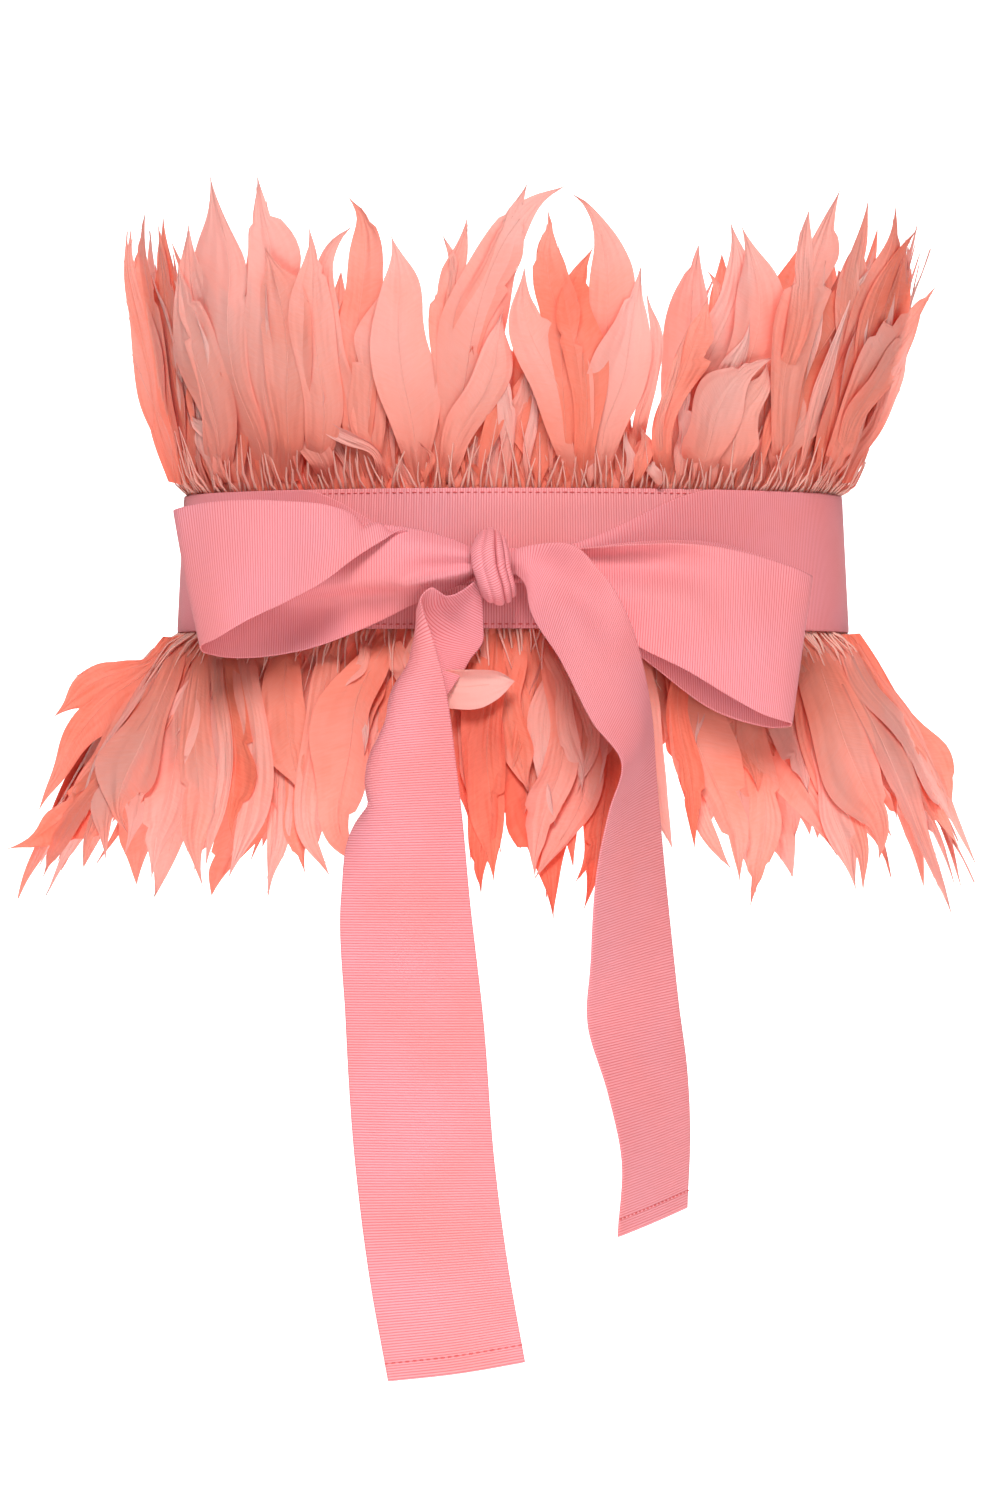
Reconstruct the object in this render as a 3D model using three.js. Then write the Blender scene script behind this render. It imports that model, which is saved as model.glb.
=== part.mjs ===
// A tie-on feather belt: a stiffened waistband with a fringe of feathers above and below it,
// and two wide ribbon ties that cross at the back and close in a bow at the front.
// Millimetres, +Z up, the wearer's front towards -Y, origin at the middle of the waist opening.
import * as THREE from 'three';

// driving dimensions
const ribbonThickness = 1.0;
const bandHeight = 51;
const bandHalf = bandHeight / 2;
const waistHalfWidth = 119.5; // to the inside of the lining, at mid height
const waistHalfDepth = 85.5;
const waistSpread = 0.05; // the waist widens downwards by this much per millimetre
const panelEnd = 150; // degrees from the front to each end of the feathered panel
const layerGap = 0.3;
const liningThickness = 0.9;
const stiffenerThickness = 1.8;
const facingThickness = 1.0;
const tapeHeight = 10;
const knotCentre = new THREE.Vector3(-7.5, -102.2, -3.4);
const knotHalf = new THREE.Vector3(8, 10.2, 13.2);
const topFeatherHeight = 110;
const bottomFeatherHeight = 105;

// radial offsets of the layers from the inside of the lining
const stiffenerInner = liningThickness + layerGap;
const facingInner = stiffenerInner + stiffenerThickness + layerGap;
const tieMiddle = facingInner + facingThickness + layerGap + ribbonThickness / 2;
const quillMiddle = stiffenerInner + stiffenerThickness / 2;

// edges of the feather clumps round the panel, in degrees from the front, + towards +X
const clumpEdges = [-150, -127, -105, -82, -60, -37, -14, 5, 24, 43, 62, 84, 106, 128, 150];

const radians = THREE.MathUtils.degToRad;
const mix = THREE.MathUtils.lerp;
const smooth = THREE.MathUtils.smoothstep;

const colours = {
  ribbon: 0xf0a3ab,
  band: 0xee949a,
  lining: 0xe8a9a4,
  stiffener: 0xf1e6dc,
  tape: 0xf0b5a5,
  feather: 0xfbb09c,
};

function makeMaterial(colour, roughness = 0.75) {
  return new THREE.MeshStandardMaterial({ color: colour, roughness, metalness: 0 });
}

// ---------- closed shells ----------

// a point of the waistband: angle in degrees from the front, offset outwards, height
function ringPoint(angle, offset, z) {
  const spread = offset - waistSpread * z;
  const a = radians(angle);
  return new THREE.Vector3((waistHalfWidth + spread) * Math.sin(a), -(waistHalfDepth + spread) * Math.cos(a), z);
}

function signedVolume(points, triangles) {
  let sum = 0;
  const cross = new THREE.Vector3();
  for (const [a, b, c] of triangles) {
    cross.crossVectors(points[b], points[c]);
    sum += points[a].dot(cross);
  }
  return sum / 6;
}

function makeGeometry(points, triangles) {
  if (signedVolume(points, triangles) < 0) triangles.forEach((t) => t.reverse());
  const geometry = new THREE.BufferGeometry();
  const positions = points.flatMap((p) => [p.x, p.y, p.z]);
  geometry.setAttribute('position', new THREE.Float32BufferAttribute(positions, 3));
  geometry.setIndex(triangles.flat());
  geometry.computeVertexNormals();
  return geometry;
}

// two grids of the same size, front and back, closed by a wall round their rim
function closeGrids(front, back) {
  const rows = front.length;
  const columns = front[0].length;
  const points = [...front.flat(), ...back.flat()];
  const at = (side, i, j) => side * rows * columns + i * columns + j;
  const triangles = [];
  const quad = (a, b, c, d) => triangles.push([a, b, c], [a, c, d]);
  for (let i = 0; i < rows - 1; i += 1) {
    for (let j = 0; j < columns - 1; j += 1) {
      quad(at(0, i, j), at(0, i, j + 1), at(0, i + 1, j + 1), at(0, i + 1, j));
      quad(at(1, i, j), at(1, i + 1, j), at(1, i + 1, j + 1), at(1, i, j + 1));
    }
  }
  for (let i = 0; i < rows - 1; i += 1) {
    quad(at(0, i, 0), at(0, i + 1, 0), at(1, i + 1, 0), at(1, i, 0));
    quad(at(0, i + 1, columns - 1), at(0, i, columns - 1), at(1, i, columns - 1), at(1, i + 1, columns - 1));
  }
  for (let j = 0; j < columns - 1; j += 1) {
    quad(at(0, 0, j + 1), at(0, 0, j), at(1, 0, j), at(1, 0, j + 1));
    quad(at(0, rows - 1, j), at(0, rows - 1, j + 1), at(1, rows - 1, j + 1), at(1, rows - 1, j));
  }
  return makeGeometry(points, triangles);
}

// a sheet of even thickness about a grid of points in its middle
function thicken(grid, thickness) {
  const rows = grid.length;
  const columns = grid[0].length;
  const along = new THREE.Vector3();
  const across = new THREE.Vector3();
  const offsetGrid = (distance) => grid.map((row, i) => row.map((point, j) => {
    along.subVectors(grid[Math.min(i + 1, rows - 1)][j], grid[Math.max(i - 1, 0)][j]);
    across.subVectors(row[Math.min(j + 1, columns - 1)], row[Math.max(j - 1, 0)]);
    const normal = new THREE.Vector3().crossVectors(along, across).normalize();
    return point.clone().addScaledVector(normal, distance);
  }));
  return closeGrids(offsetGrid(thickness / 2), offsetGrid(-thickness / 2));
}

// a smooth grid through rows of points, each row running across the ribbon
function loft(controlRows, steps, columns) {
  const rows = controlRows.map((row) => {
    const points = row.map(([x, y, z]) => new THREE.Vector3(x, y, z));
    return new THREE.CatmullRomCurve3(points, false, 'centripetal').getSpacedPoints(columns);
  });
  const rails = rows[0].map((_, j) => new THREE.CatmullRomCurve3(rows.map((row) => row[j]), false, 'centripetal'));
  return Array.from({ length: steps + 1 }, (_, i) => rails.map((rail) => rail.getPoint(i / steps)));
}

function namedMesh(name, geometry, material) {
  const mesh = new THREE.Mesh(geometry, material);
  mesh.name = name;
  return mesh;
}

// ---------- the waistband ----------

// a curved strip of the band between two angles, two offsets and two heights
function bandStrip(fromAngle, toAngle, innerOffset, outerOffset, bottom, top, segments) {
  const grid = (offset) => Array.from({ length: segments + 1 }, (_, i) => {
    const angle = mix(fromAngle, toAngle, i / segments);
    return [ringPoint(angle, offset, bottom), ringPoint(angle, offset, top)];
  });
  return closeGrids(grid(outerOffset), grid(innerOffset));
}

function makeWaistband() {
  const group = new THREE.Group();
  const segments = 40;
  const tapeTop = bandHalf - 1;
  const tapeBottom = tapeTop - tapeHeight;
  const panel = (name, inner, thickness, bottom, top, material) => {
    const geometry = bandStrip(-panelEnd, panelEnd, inner, inner + thickness, bottom, top, segments);
    group.add(namedMesh(name, geometry, material));
  };
  const tapeMaterial = makeMaterial(colours.tape, 0.8);
  const stiffenerHalf = tapeBottom - layerGap;
  panel('band_facing', facingInner, facingThickness, -bandHalf, bandHalf, makeMaterial(colours.band, 0.6));
  panel('band_lining', 0, liningThickness, -bandHalf, bandHalf, makeMaterial(colours.lining, 0.7));
  panel('band_stiffener', stiffenerInner, stiffenerThickness, -stiffenerHalf, stiffenerHalf,
    makeMaterial(colours.stiffener, 0.9));
  panel('top_quill_tape', stiffenerInner, stiffenerThickness, tapeBottom, tapeTop, tapeMaterial);
  panel('bottom_quill_tape', stiffenerInner, stiffenerThickness, -tapeTop, -tapeBottom, tapeMaterial);
  const bindingStart = panelEnd + 0.2;
  const bindingEnd = panelEnd + 0.7;
  const outer = facingInner + facingThickness;
  for (const [side, name] of [[-1, 'left_end_binding'], [1, 'right_end_binding']]) {
    const geometry = bandStrip(side * bindingStart, side * bindingEnd, 0, outer, -bandHalf, bandHalf, 1);
    group.add(namedMesh(name, geometry, makeMaterial(colours.band, 0.6)));
  }
  return group;
}

// ---------- the feather fringes ----------

// how far the fringe stands out from the band at its tips, and how it gets there
const fringes = {
  top: {
    sign: 1,
    height: topFeatherHeight,
    flare: (s) => 27 + 6 * s + 3 * s * s,
    power: (s) => 1.5 - 0.75 * s * s,
  },
  bottom: {
    sign: -1,
    height: bottomFeatherHeight,
    flare: (s) => 27 + 31 * s * s - 8 * s,
    power: (s) => 1.35 - 0.6 * s * s,
  },
};

// One clump of feathers: a thin flared shell with a row of pointed tips. Its quills stand straight
// between the facing and the lining, and the flare starts at the edge of the band.
const quillDepth = 0.7;
const quillClear = 1.2;
const clump = {
  columns: 8,
  levels: [0.35, 0.7, 1], // rows of points above the quills, as parts of each tip's height
  shortTip: 0.68,
  longTip: 0.93,
  tipChange: 0.065,
  lean: 1.5, // degrees at the middle of the clump
  quillThickness: 1.2,
  vaneThickness: 2.8,
  tipThinning: 1.3,
};

function clumpPoint(fringe, angle, t, side) {
  const s = Math.sin(radians(angle));
  const rootZ = fringe.sign * (bandHalf - quillDepth);
  const above = Math.max(0, t * fringe.height - quillClear) / (fringe.height - quillClear);
  const flare = fringe.flare(s) * Math.pow(above, fringe.power(s));
  const vane = mix(clump.quillThickness, clump.vaneThickness, smooth(t, 0.02, 0.3));
  const thickness = vane - clump.tipThinning * smooth(t, 0.4, 1);
  const z = rootZ + fringe.sign * t * fringe.height;
  const offset = quillMiddle + flare + waistSpread * (z - rootZ);
  return ringPoint(angle, offset + (side * thickness) / 2, z);
}

function featherClump(fringe, fromAngle, toAngle, seed) {
  const grid = (side) => Array.from({ length: clump.columns + 1 }, (_, i) => {
    const across = i / clump.columns;
    const tip = (i % 2 === 0 ? clump.shortTip : clump.longTip) + clump.tipChange * Math.sin(seed * 2.3 + i * 1.7);
    const lean = clump.lean * 4 * Math.sin(seed * 1.1 + i * 0.9) * across * (1 - across);
    const heights = [0, quillClear / fringe.height, ...clump.levels.map((level) => level * tip)];
    return heights.map((t) => clumpPoint(fringe, mix(fromAngle, toAngle, across) + lean * t * t, t, side));
  });
  return closeGrids(grid(1), grid(-1));
}

function makeFringe(name) {
  const group = new THREE.Group();
  const material = makeMaterial(colours.feather, 0.65);
  for (let k = 0; k < clumpEdges.length - 1; k += 1) {
    const geometry = featherClump(fringes[name], clumpEdges[k] + 0.1, clumpEdges[k + 1] - 0.1, k + 1);
    group.add(namedMesh(`${name}_feathers_${String(k + 1).padStart(2, '0')}`, geometry, material));
  }
  return group;
}

// ---------- the ties round the waist ----------

// Each tie is sewn over its own end of the panel, crosses the gap at the back, passes over the
// other end and comes round to the knot. turn runs from 0 at the front to 222 at its sewn end.
const sewnEnd = 222;
const crossing = 180;
const knotAngle = -3.5; // the bow sits this far to the left of the middle

// heights of the upper and lower edge of a tie
const tieEdges = {
  upperCrossing: [23.5, 2],
  lowerCrossing: [-2, -23.5],
  knot: [3.5, -9],
};

function tieSection(turn, side) {
  const toCrossing = Math.abs(turn - crossing);
  const bunch = 1 - smooth(toCrossing, 9, 28); // 1 where the ties cross
  const gather = 1 - smooth(turn, 8, 38); // 1 at the knot
  const bunched = side > 0 ? tieEdges.upperCrossing : tieEdges.lowerCrossing;
  const height = (flat, i) => mix(mix(flat, bunched[i], bunch), tieEdges.knot[i], gather);
  const over = ribbonThickness + layerGap + 0.2;
  const lift = over * (1 - smooth(turn, 160, 200)) * smooth(turn, 112, 130);
  return { top: height(bandHalf, 0), bottom: height(-bandHalf, 1), offset: tieMiddle + lift };
}

function makeTie(side, name) {
  const steps = 46;
  const frontEnd = 1.2;
  const grid = Array.from({ length: steps + 1 }, (_, i) => {
    const turn = mix(frontEnd, sewnEnd, i / steps);
    const { top, bottom, offset } = tieSection(turn, side);
    const angle = side * turn + knotAngle * (1 - smooth(turn, 0, 60));
    return [0, 0.5, 1].map((v) => ringPoint(angle, offset, mix(bottom, top, v)));
  });
  return namedMesh(name, thicken(grid, ribbonThickness), makeMaterial(colours.ribbon, 0.6));
}

// ---------- the bow ----------

// a rounded block: the ribbon wound once round the crossing of the loops
function makeKnot() {
  const sphere = new THREE.SphereGeometry(1, 16, 12);
  const position = sphere.getAttribute('position');
  const block = (value) => Math.sign(value) * Math.pow(Math.abs(value), 0.75);
  for (let i = 0; i < position.count; i += 1) {
    const x = block(position.getX(i)) * knotHalf.x;
    const y = block(position.getZ(i)) * knotHalf.y;
    const z = block(position.getY(i)) * knotHalf.z;
    position.setXYZ(i, x, -y, z);
  }
  sphere.computeVertexNormals();
  const knot = namedMesh('bow_knot', sphere, makeMaterial(colours.ribbon, 0.6));
  knot.position.copy(knotCentre);
  return knot;
}

// rows run from the upper to the lower edge of the ribbon, out along the front layer and back behind
const leftLoopRows = [
  [[-17.8, -103.5, 3.4], [-17.8, -103.5, -5.4]],
  [[-32, -107, 9], [-32, -107, -11]],
  [[-46, -109, 13], [-46, -111, -11.5]],
  [[-66, -109, 18.2], [-66, -113, -12]],
  [[-95, -103, 20.4], [-95, -106, -23]],
  [[-114, -95, 19.5], [-108, -99, -30]],
  [[-123, -86, 17.5], [-113.5, -90, -33]],
  [[-119, -77, 17], [-110, -80, -35]],
  [[-95, -76, 17], [-95, -79, -36]],
  [[-70, -86, 13], [-72, -89, -33]],
  [[-45, -94, 7], [-46, -96, -22]],
  [[-28, -98, 3.4], [-28, -98.5, -12]],
  [[-17.8, -99, 2.4], [-17.8, -99, -5.6]],
];

const rightLoopRows = [
  [[2.6, -103, 1.6], [2.6, -103, -6.4]],
  [[14, -105, 2.5], [14, -106, -12]],
  [[25, -107, 3], [25, -109, -19]],
  [[45, -108, 5], [44, -112.5, -32]],
  [[63, -107, 5], [62, -112, -41]],
  [[80, -104, 2.5], [78, -109, -50.5]],
  [[95, -99, -1.5], [91, -104, -57]],
  [[108, -90, -6.5], [100.5, -95, -60]],
  [[104, -81, -4], [97, -87, -61]],
  [[88, -80, 2], [88, -86, -60.5]],
  [[70, -86, 6], [72, -90, -55]],
  [[48, -93, 6], [50, -96, -39]],
  [[25, -97.5, 3.5], [25, -98.5, -19]],
  [[2.6, -99, 1.4], [2.6, -99, -6.2]],
];

function makeLoop(name, rows) {
  const grid = loft(rows, 30, 3);
  return namedMesh(name, thicken(grid, ribbonThickness), makeMaterial(colours.ribbon, 0.6));
}

// rows run across the ribbon: the left tail leaves the knot rolled, open towards +X, and opens flat
const leftTailRows = [
  [[-28.5, -113, -14.5], [-31.5, -113, -15.5], [-34.5, -110.5, -16.5], [-31, -104, -19], [-17.5, -101, -20.5]],
  [[-29, -116, -28], [-32.5, -116.5, -29], [-36, -113, -30.5], [-31, -106.5, -32], [-12.5, -103, -32]],
  [[-25.5, -119, -42], [-34, -120.5, -43.5], [-42.5, -117, -45], [-37, -112, -46], [-23, -109, -47]],
  [[-20.6, -122, -74], [-36.5, -125, -75], [-52, -123.5, -76.5], [-53, -119, -77], [-42, -117, -78]],
  [[-18, -124, -96], [-37, -127.5, -97], [-54, -125, -98], [-57.8, -121.5, -98]],
  [[-15.8, -126, -121], [-38, -128.5, -121], [-61.5, -125, -121]],
  [[-10.8, -128, -165], [-36, -129, -165], [-60, -126, -165]],
  [[-6.7, -129, -217], [-32, -130, -217], [-56.5, -127, -217]],
  [[-1.5, -130, -256], [-26, -131, -258], [-51, -128, -260]],
  [[4, -130, -287], [-20, -131, -291], [-44.8, -128, -294]],
];

// the right tail leaves the knot face on and turns its lower edge forward until it hangs obliquely
const rightTailRows = [
  [[3.2, -106.5, -7.5], [2.8, -106.5, 3]],
  [[6, -112, -19.5], [11, -114, -8], [16.5, -112, 4.4]],
  [[16.5, -128, -37.4], [24, -123, -21], [30.8, -116, -5.2]],
  [[27.2, -143, -58.8], [35, -132, -42], [42, -119, -25]],
  [[38, -155, -75], [45, -139, -65], [49, -120, -55]],
  [[33.5, -158, -91], [42, -140, -85], [51, -119, -80]],
  [[29.5, -157, -110], [41, -139, -106], [53, -118, -102]],
  [[27, -153, -145], [41, -136, -141], [56.5, -117, -137]],
  [[26, -151, -166], [42, -135, -163], [59, -116, -160]],
  [[33, -154, -190], [47, -137, -187], [62, -117, -184]],
  [[38, -157, -215], [50, -138, -212], [63, -118, -208]],
  [[36.5, -159, -240.5], [49, -140, -237], [62, -119, -233]],
];

// the end of a tail is folded up behind and sewn down
function makeHem(grid, name, side) {
  const depth = 4;
  const rows = grid.slice(-depth);
  const clear = ribbonThickness + layerGap;
  const inset = 0.06;
  const back = rows.map((row, i) => row.map((point, j) => {
    const along = new THREE.Vector3().subVectors(rows[Math.min(i + 1, depth - 1)][j], rows[Math.max(i - 1, 0)][j]);
    const across = new THREE.Vector3().subVectors(row[row.length - 1], row[0]);
    const normal = new THREE.Vector3().crossVectors(along, across).normalize();
    const inward = inset * (0.5 - j / (row.length - 1));
    return point.clone().addScaledVector(normal, side * clear).addScaledVector(across, inward);
  }));
  return namedMesh(name, thicken(back, ribbonThickness), makeMaterial(colours.ribbon, 0.6));
}

function makeTail(name, rows, hemSide) {
  const group = new THREE.Group();
  const grid = loft(rows, 40, 6);
  group.add(namedMesh(name, thicken(grid, ribbonThickness), makeMaterial(colours.ribbon, 0.6)));
  group.add(makeHem(grid, `${name}_hem`, hemSide));
  return group;
}

// ---------- assembly ----------

const belt = new THREE.Group();
belt.add(makeWaistband());
belt.add(makeFringe('top'));
belt.add(makeFringe('bottom'));
belt.add(makeTie(-1, 'left_tie'));
belt.add(makeTie(1, 'right_tie'));
belt.add(makeKnot());
belt.add(makeLoop('left_loop', leftLoopRows));
belt.add(makeLoop('right_loop', rightLoopRows));
belt.add(makeTail('left_tail', leftTailRows, 1));
belt.add(makeTail('right_tail', rightTailRows, -1));

export default belt;
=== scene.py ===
import math

import bpy
import numpy as np
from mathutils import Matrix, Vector


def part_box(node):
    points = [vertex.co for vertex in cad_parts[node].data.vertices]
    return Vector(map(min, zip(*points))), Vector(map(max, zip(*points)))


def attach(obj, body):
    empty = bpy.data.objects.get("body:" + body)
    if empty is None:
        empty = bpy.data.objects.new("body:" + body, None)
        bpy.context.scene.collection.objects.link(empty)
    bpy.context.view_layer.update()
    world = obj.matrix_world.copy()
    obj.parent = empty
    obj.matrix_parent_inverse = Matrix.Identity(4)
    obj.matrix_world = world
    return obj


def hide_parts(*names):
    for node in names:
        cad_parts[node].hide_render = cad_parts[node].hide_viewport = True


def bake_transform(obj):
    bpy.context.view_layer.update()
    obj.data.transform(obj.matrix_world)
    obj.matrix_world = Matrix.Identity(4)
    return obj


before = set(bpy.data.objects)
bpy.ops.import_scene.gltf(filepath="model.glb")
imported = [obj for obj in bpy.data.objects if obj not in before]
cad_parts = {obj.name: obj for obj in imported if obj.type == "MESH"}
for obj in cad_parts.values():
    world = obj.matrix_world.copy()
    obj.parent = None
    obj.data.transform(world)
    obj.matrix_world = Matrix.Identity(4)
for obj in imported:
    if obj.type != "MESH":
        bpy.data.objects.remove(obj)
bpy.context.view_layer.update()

mm = 0.001


def boxOf(node):
    # two corners of a node's box, in millimetres
    low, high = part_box(node)
    return np.array(low) / mm, np.array(high) / mm


facingHigh = boxOf("band_facing")[1]
liningLow, liningHigh = boxOf("band_lining")
knotLow, knotHigh = boxOf("bow_knot")

belt = {
    "half": facingHigh[2],  # half the height of the band
    "spread": 0.05,  # the waist widens downwards
    "lining": 0.9,  # thickness of the lining
    "quillOffset": 2.1,  # the quills, between facing and lining
    "facingOffset": 3.3,
    "tieOffset": 5.1,
    "panelEnd": 150.0,  # degrees from the front
}
belt["wide"] = liningHigh[0] - belt["lining"] - belt["spread"] * belt["half"]
belt["deep"] = -liningLow[1] - belt["lining"] - belt["spread"] * belt["half"]


def ringPoint(angle, offset, z):
    # a point at an angle round the waist, offset outwards from the lining
    reach = offset - belt["spread"] * np.asarray(z, float)
    a = np.radians(angle)
    return np.stack(np.broadcast_arrays(
        (belt["wide"] + reach) * np.sin(a), -(belt["deep"] + reach) * np.cos(a), z), axis=-1)


def smoothStep(low, high, x):
    t = np.clip((np.asarray(x, float) - low) / (high - low), 0, 1)
    return t * t * (3 - 2 * t)


def buildMesh(name, points, quads, material, uv=None, values=None, sharp=None):
    # points in millimetres; quads index them, and a triangle repeats its last corner
    mesh = bpy.data.meshes.new(name)
    quads = np.asarray(quads, np.int32)
    mesh.vertices.add(len(points))
    mesh.vertices.foreach_set("co", (np.asarray(points, float) * mm).astype(np.float32).ravel())
    mesh.loops.add(quads.size)
    mesh.loops.foreach_set("vertex_index", quads.ravel())
    mesh.polygons.add(len(quads))
    mesh.polygons.foreach_set("loop_start", np.arange(0, quads.size, 4, dtype=np.int32))
    mesh.polygons.foreach_set("use_smooth", np.ones(len(quads), bool))
    mesh.update(calc_edges=True)
    if uv is not None:
        layer = mesh.uv_layers.new(name="UVMap")
        layer.data.foreach_set("uv", np.asarray(uv, np.float32)[quads.ravel()].ravel())
    for key, value in (values or {}).items():
        attribute = mesh.attributes.new(key, "FLOAT", "POINT")
        attribute.data.foreach_set("value", np.asarray(value, np.float32))
    if sharp is not None:
        ends = np.empty(len(mesh.edges) * 2, np.int32)
        mesh.edges.foreach_get("vertices", ends)
        ends = ends.reshape(-1, 2)
        flags = mesh.attributes.new("sharp_edge", "BOOLEAN", "EDGE")
        flags.data.foreach_set("value", sharp[ends[:, 0]] & sharp[ends[:, 1]])
    mesh.validate()
    piece = bpy.data.objects.new(name, mesh)
    bpy.context.scene.collection.objects.link(piece)
    mesh.materials.append(material)
    return piece


def spline(stops, values, at):
    # a smooth curve through values at stops, read at the places in at
    stops, values, at = (np.asarray(x, float) for x in (stops, values, at))
    slopes = np.gradient(values, stops, axis=0)
    i = np.clip(np.searchsorted(stops, at, side="right") - 1, 0, len(stops) - 2)
    gap = stops[i + 1] - stops[i]
    t = (at - stops[i]) / gap
    shape = (-1,) + (1,) * (values.ndim - 1)
    t, gap = t.reshape(shape), gap.reshape(shape)
    rise = t * t * (3 - 2 * t)
    return (values[i] * (1 - rise) + values[i + 1] * rise
            + gap * t * (1 - t) * ((1 - t) * slopes[i] - t * slopes[i + 1]))


def pathLength(points):
    steps = np.linalg.norm(np.diff(points, axis=0), axis=-1)
    return np.concatenate([[0], np.cumsum(steps)])


def gridLength(grid):
    # how far each row of a grid is from the first, on average
    steps = np.linalg.norm(np.diff(grid, axis=0), axis=-1).mean(axis=1)
    return np.concatenate([[0], np.cumsum(steps)])


ribs = {
    "pitch": 0.95,  # millimetres from rib to rib
    "height": 0.2,
    "perRib": 4,  # rows of the mesh to each rib
    "thickness": 0.55,
    "fullness": 0.45,  # the lower, the broader the ribs and the narrower the valleys
    "edgeColumns": [0, 0.012, 0.03],  # parts of the width, from either edge
    "firstColumn": 0.07,  # where the even columns start
    "edgeThickness": 0.55,  # what is left of the thickness at an edge
}


def ribPlaces(length):
    # places along a ribbon, the same few for each rib
    count = int(round(length / ribs["pitch"])) * ribs["perRib"]
    return np.linspace(0, length, count + 1)


def acrossPlaces(columns):
    # places across a ribbon, from 0 to 1, close together at its edges
    edge, first = np.array(ribs["edgeColumns"]), ribs["firstColumn"]
    even = np.linspace(first, 1 - first, columns - 2 * len(edge))
    return np.concatenate([edge, even, 1 - edge[::-1]])


def evenSection(points, columns):
    # a smooth line across the ribbon, cut into columns
    points = np.asarray(points, float)
    stops = pathLength(points)
    fine = spline(stops, points, np.linspace(0, stops[-1], 60))
    lengths = pathLength(fine)
    places = acrossPlaces(columns) * lengths[-1]
    return np.stack([np.interp(places, lengths, fine[:, k]) for k in range(3)], -1)


def gridNormals(grid):
    along = np.gradient(grid, axis=0)
    across = np.gradient(grid, axis=1)
    normal = np.cross(along, across)
    return normal / np.maximum(np.linalg.norm(normal, axis=-1, keepdims=True), 1e-9)


def gridQuads(index):
    # the faces of a grid of point numbers
    corners = index[:-1, :-1], index[:-1, 1:], index[1:, 1:], index[1:, :-1]
    return np.stack(corners, -1).reshape(-1, 4)


def shellMesh(name, middle, offsets, uv, material):
    # a closed sheet about the grid in its middle, with a wall all round
    rows, columns = middle.shape[:2]
    normal = gridNormals(middle)
    front = middle + normal * offsets[..., None]
    back = middle - normal * offsets[..., None]
    points = np.concatenate([front.reshape(-1, 3), back.reshape(-1, 3)])
    half = rows * columns
    index = np.arange(half).reshape(rows, columns)
    rim = np.concatenate([index[0, :-1], index[:-1, -1], index[-1, :0:-1], index[:0:-1, 0]])
    turn = np.roll(rim, -1)
    wall = np.stack([rim, rim + half, turn + half, turn], -1)
    quads = np.concatenate([gridQuads(index), gridQuads(index + half)[:, [0, 3, 2, 1]], wall])
    flat = uv.reshape(-1, 2)
    return buildMesh(name, points, orientOut(points, quads), material, np.concatenate([flat, flat]))


def orientOut(points, quads):
    # turns every face round if the closed mesh is inside out
    a, b, c, d = (points[quads[:, k]] for k in range(4))
    volume = np.einsum("ij,ij->i", a, np.cross(b, c)) + np.einsum("ij,ij->i", a, np.cross(c, d))
    return quads[:, ::-1] if volume.sum() < 0 else quads


def ribbonGrid(rows, columns=18):
    # rows of points across the ribbon become a dense grid, its ribs evenly spaced along it
    sections = np.array([evenSection(row, columns) for row in rows])
    stops = gridLength(sections)
    places = ribPlaces(stops[-1])
    return spline(stops, sections, places), places


def ribbedPiece(name, grid, places, material, thickness=ribs["thickness"]):
    # a ribbed ribbon about a grid whose rows lie at the given places along it
    widths = gridLength(grid.swapaxes(0, 1))
    across = np.broadcast_to(widths / widths[-1], grid.shape[:2])
    along = np.broadcast_to(places[:, None], grid.shape[:2])
    cord = (0.5 + 0.5 * np.cos(2 * math.pi * along / ribs["pitch"])) ** ribs["fullness"]
    selvage = np.clip(np.minimum(across, 1 - across) / ribs["edgeColumns"][-1], 0.25, 1)
    thinning = ribs["edgeThickness"] + (1 - ribs["edgeThickness"]) * selvage
    offsets = (thickness / 2 + ribs["height"] * (cord - 0.5)) * thinning
    uv = np.stack([along / ribs["pitch"], across], -1)
    return shellMesh(name, grid, offsets, uv, material)


class Wire:
    # a shader socket that can be added, multiplied and so on
    def __init__(self, shade, socket):
        self.shade, self.socket = shade, socket

    def __add__(self, other):
        return self.shade.maths("ADD", self, other)

    def __sub__(self, other):
        return self.shade.maths("SUBTRACT", self, other)

    def __rsub__(self, other):
        return self.shade.maths("SUBTRACT", other, self)

    def __mul__(self, other):
        return self.shade.maths("MULTIPLY", self, other)

    def __pow__(self, other):
        return self.shade.maths("POWER", self, other)

    __radd__, __rmul__ = __add__, __mul__


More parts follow.
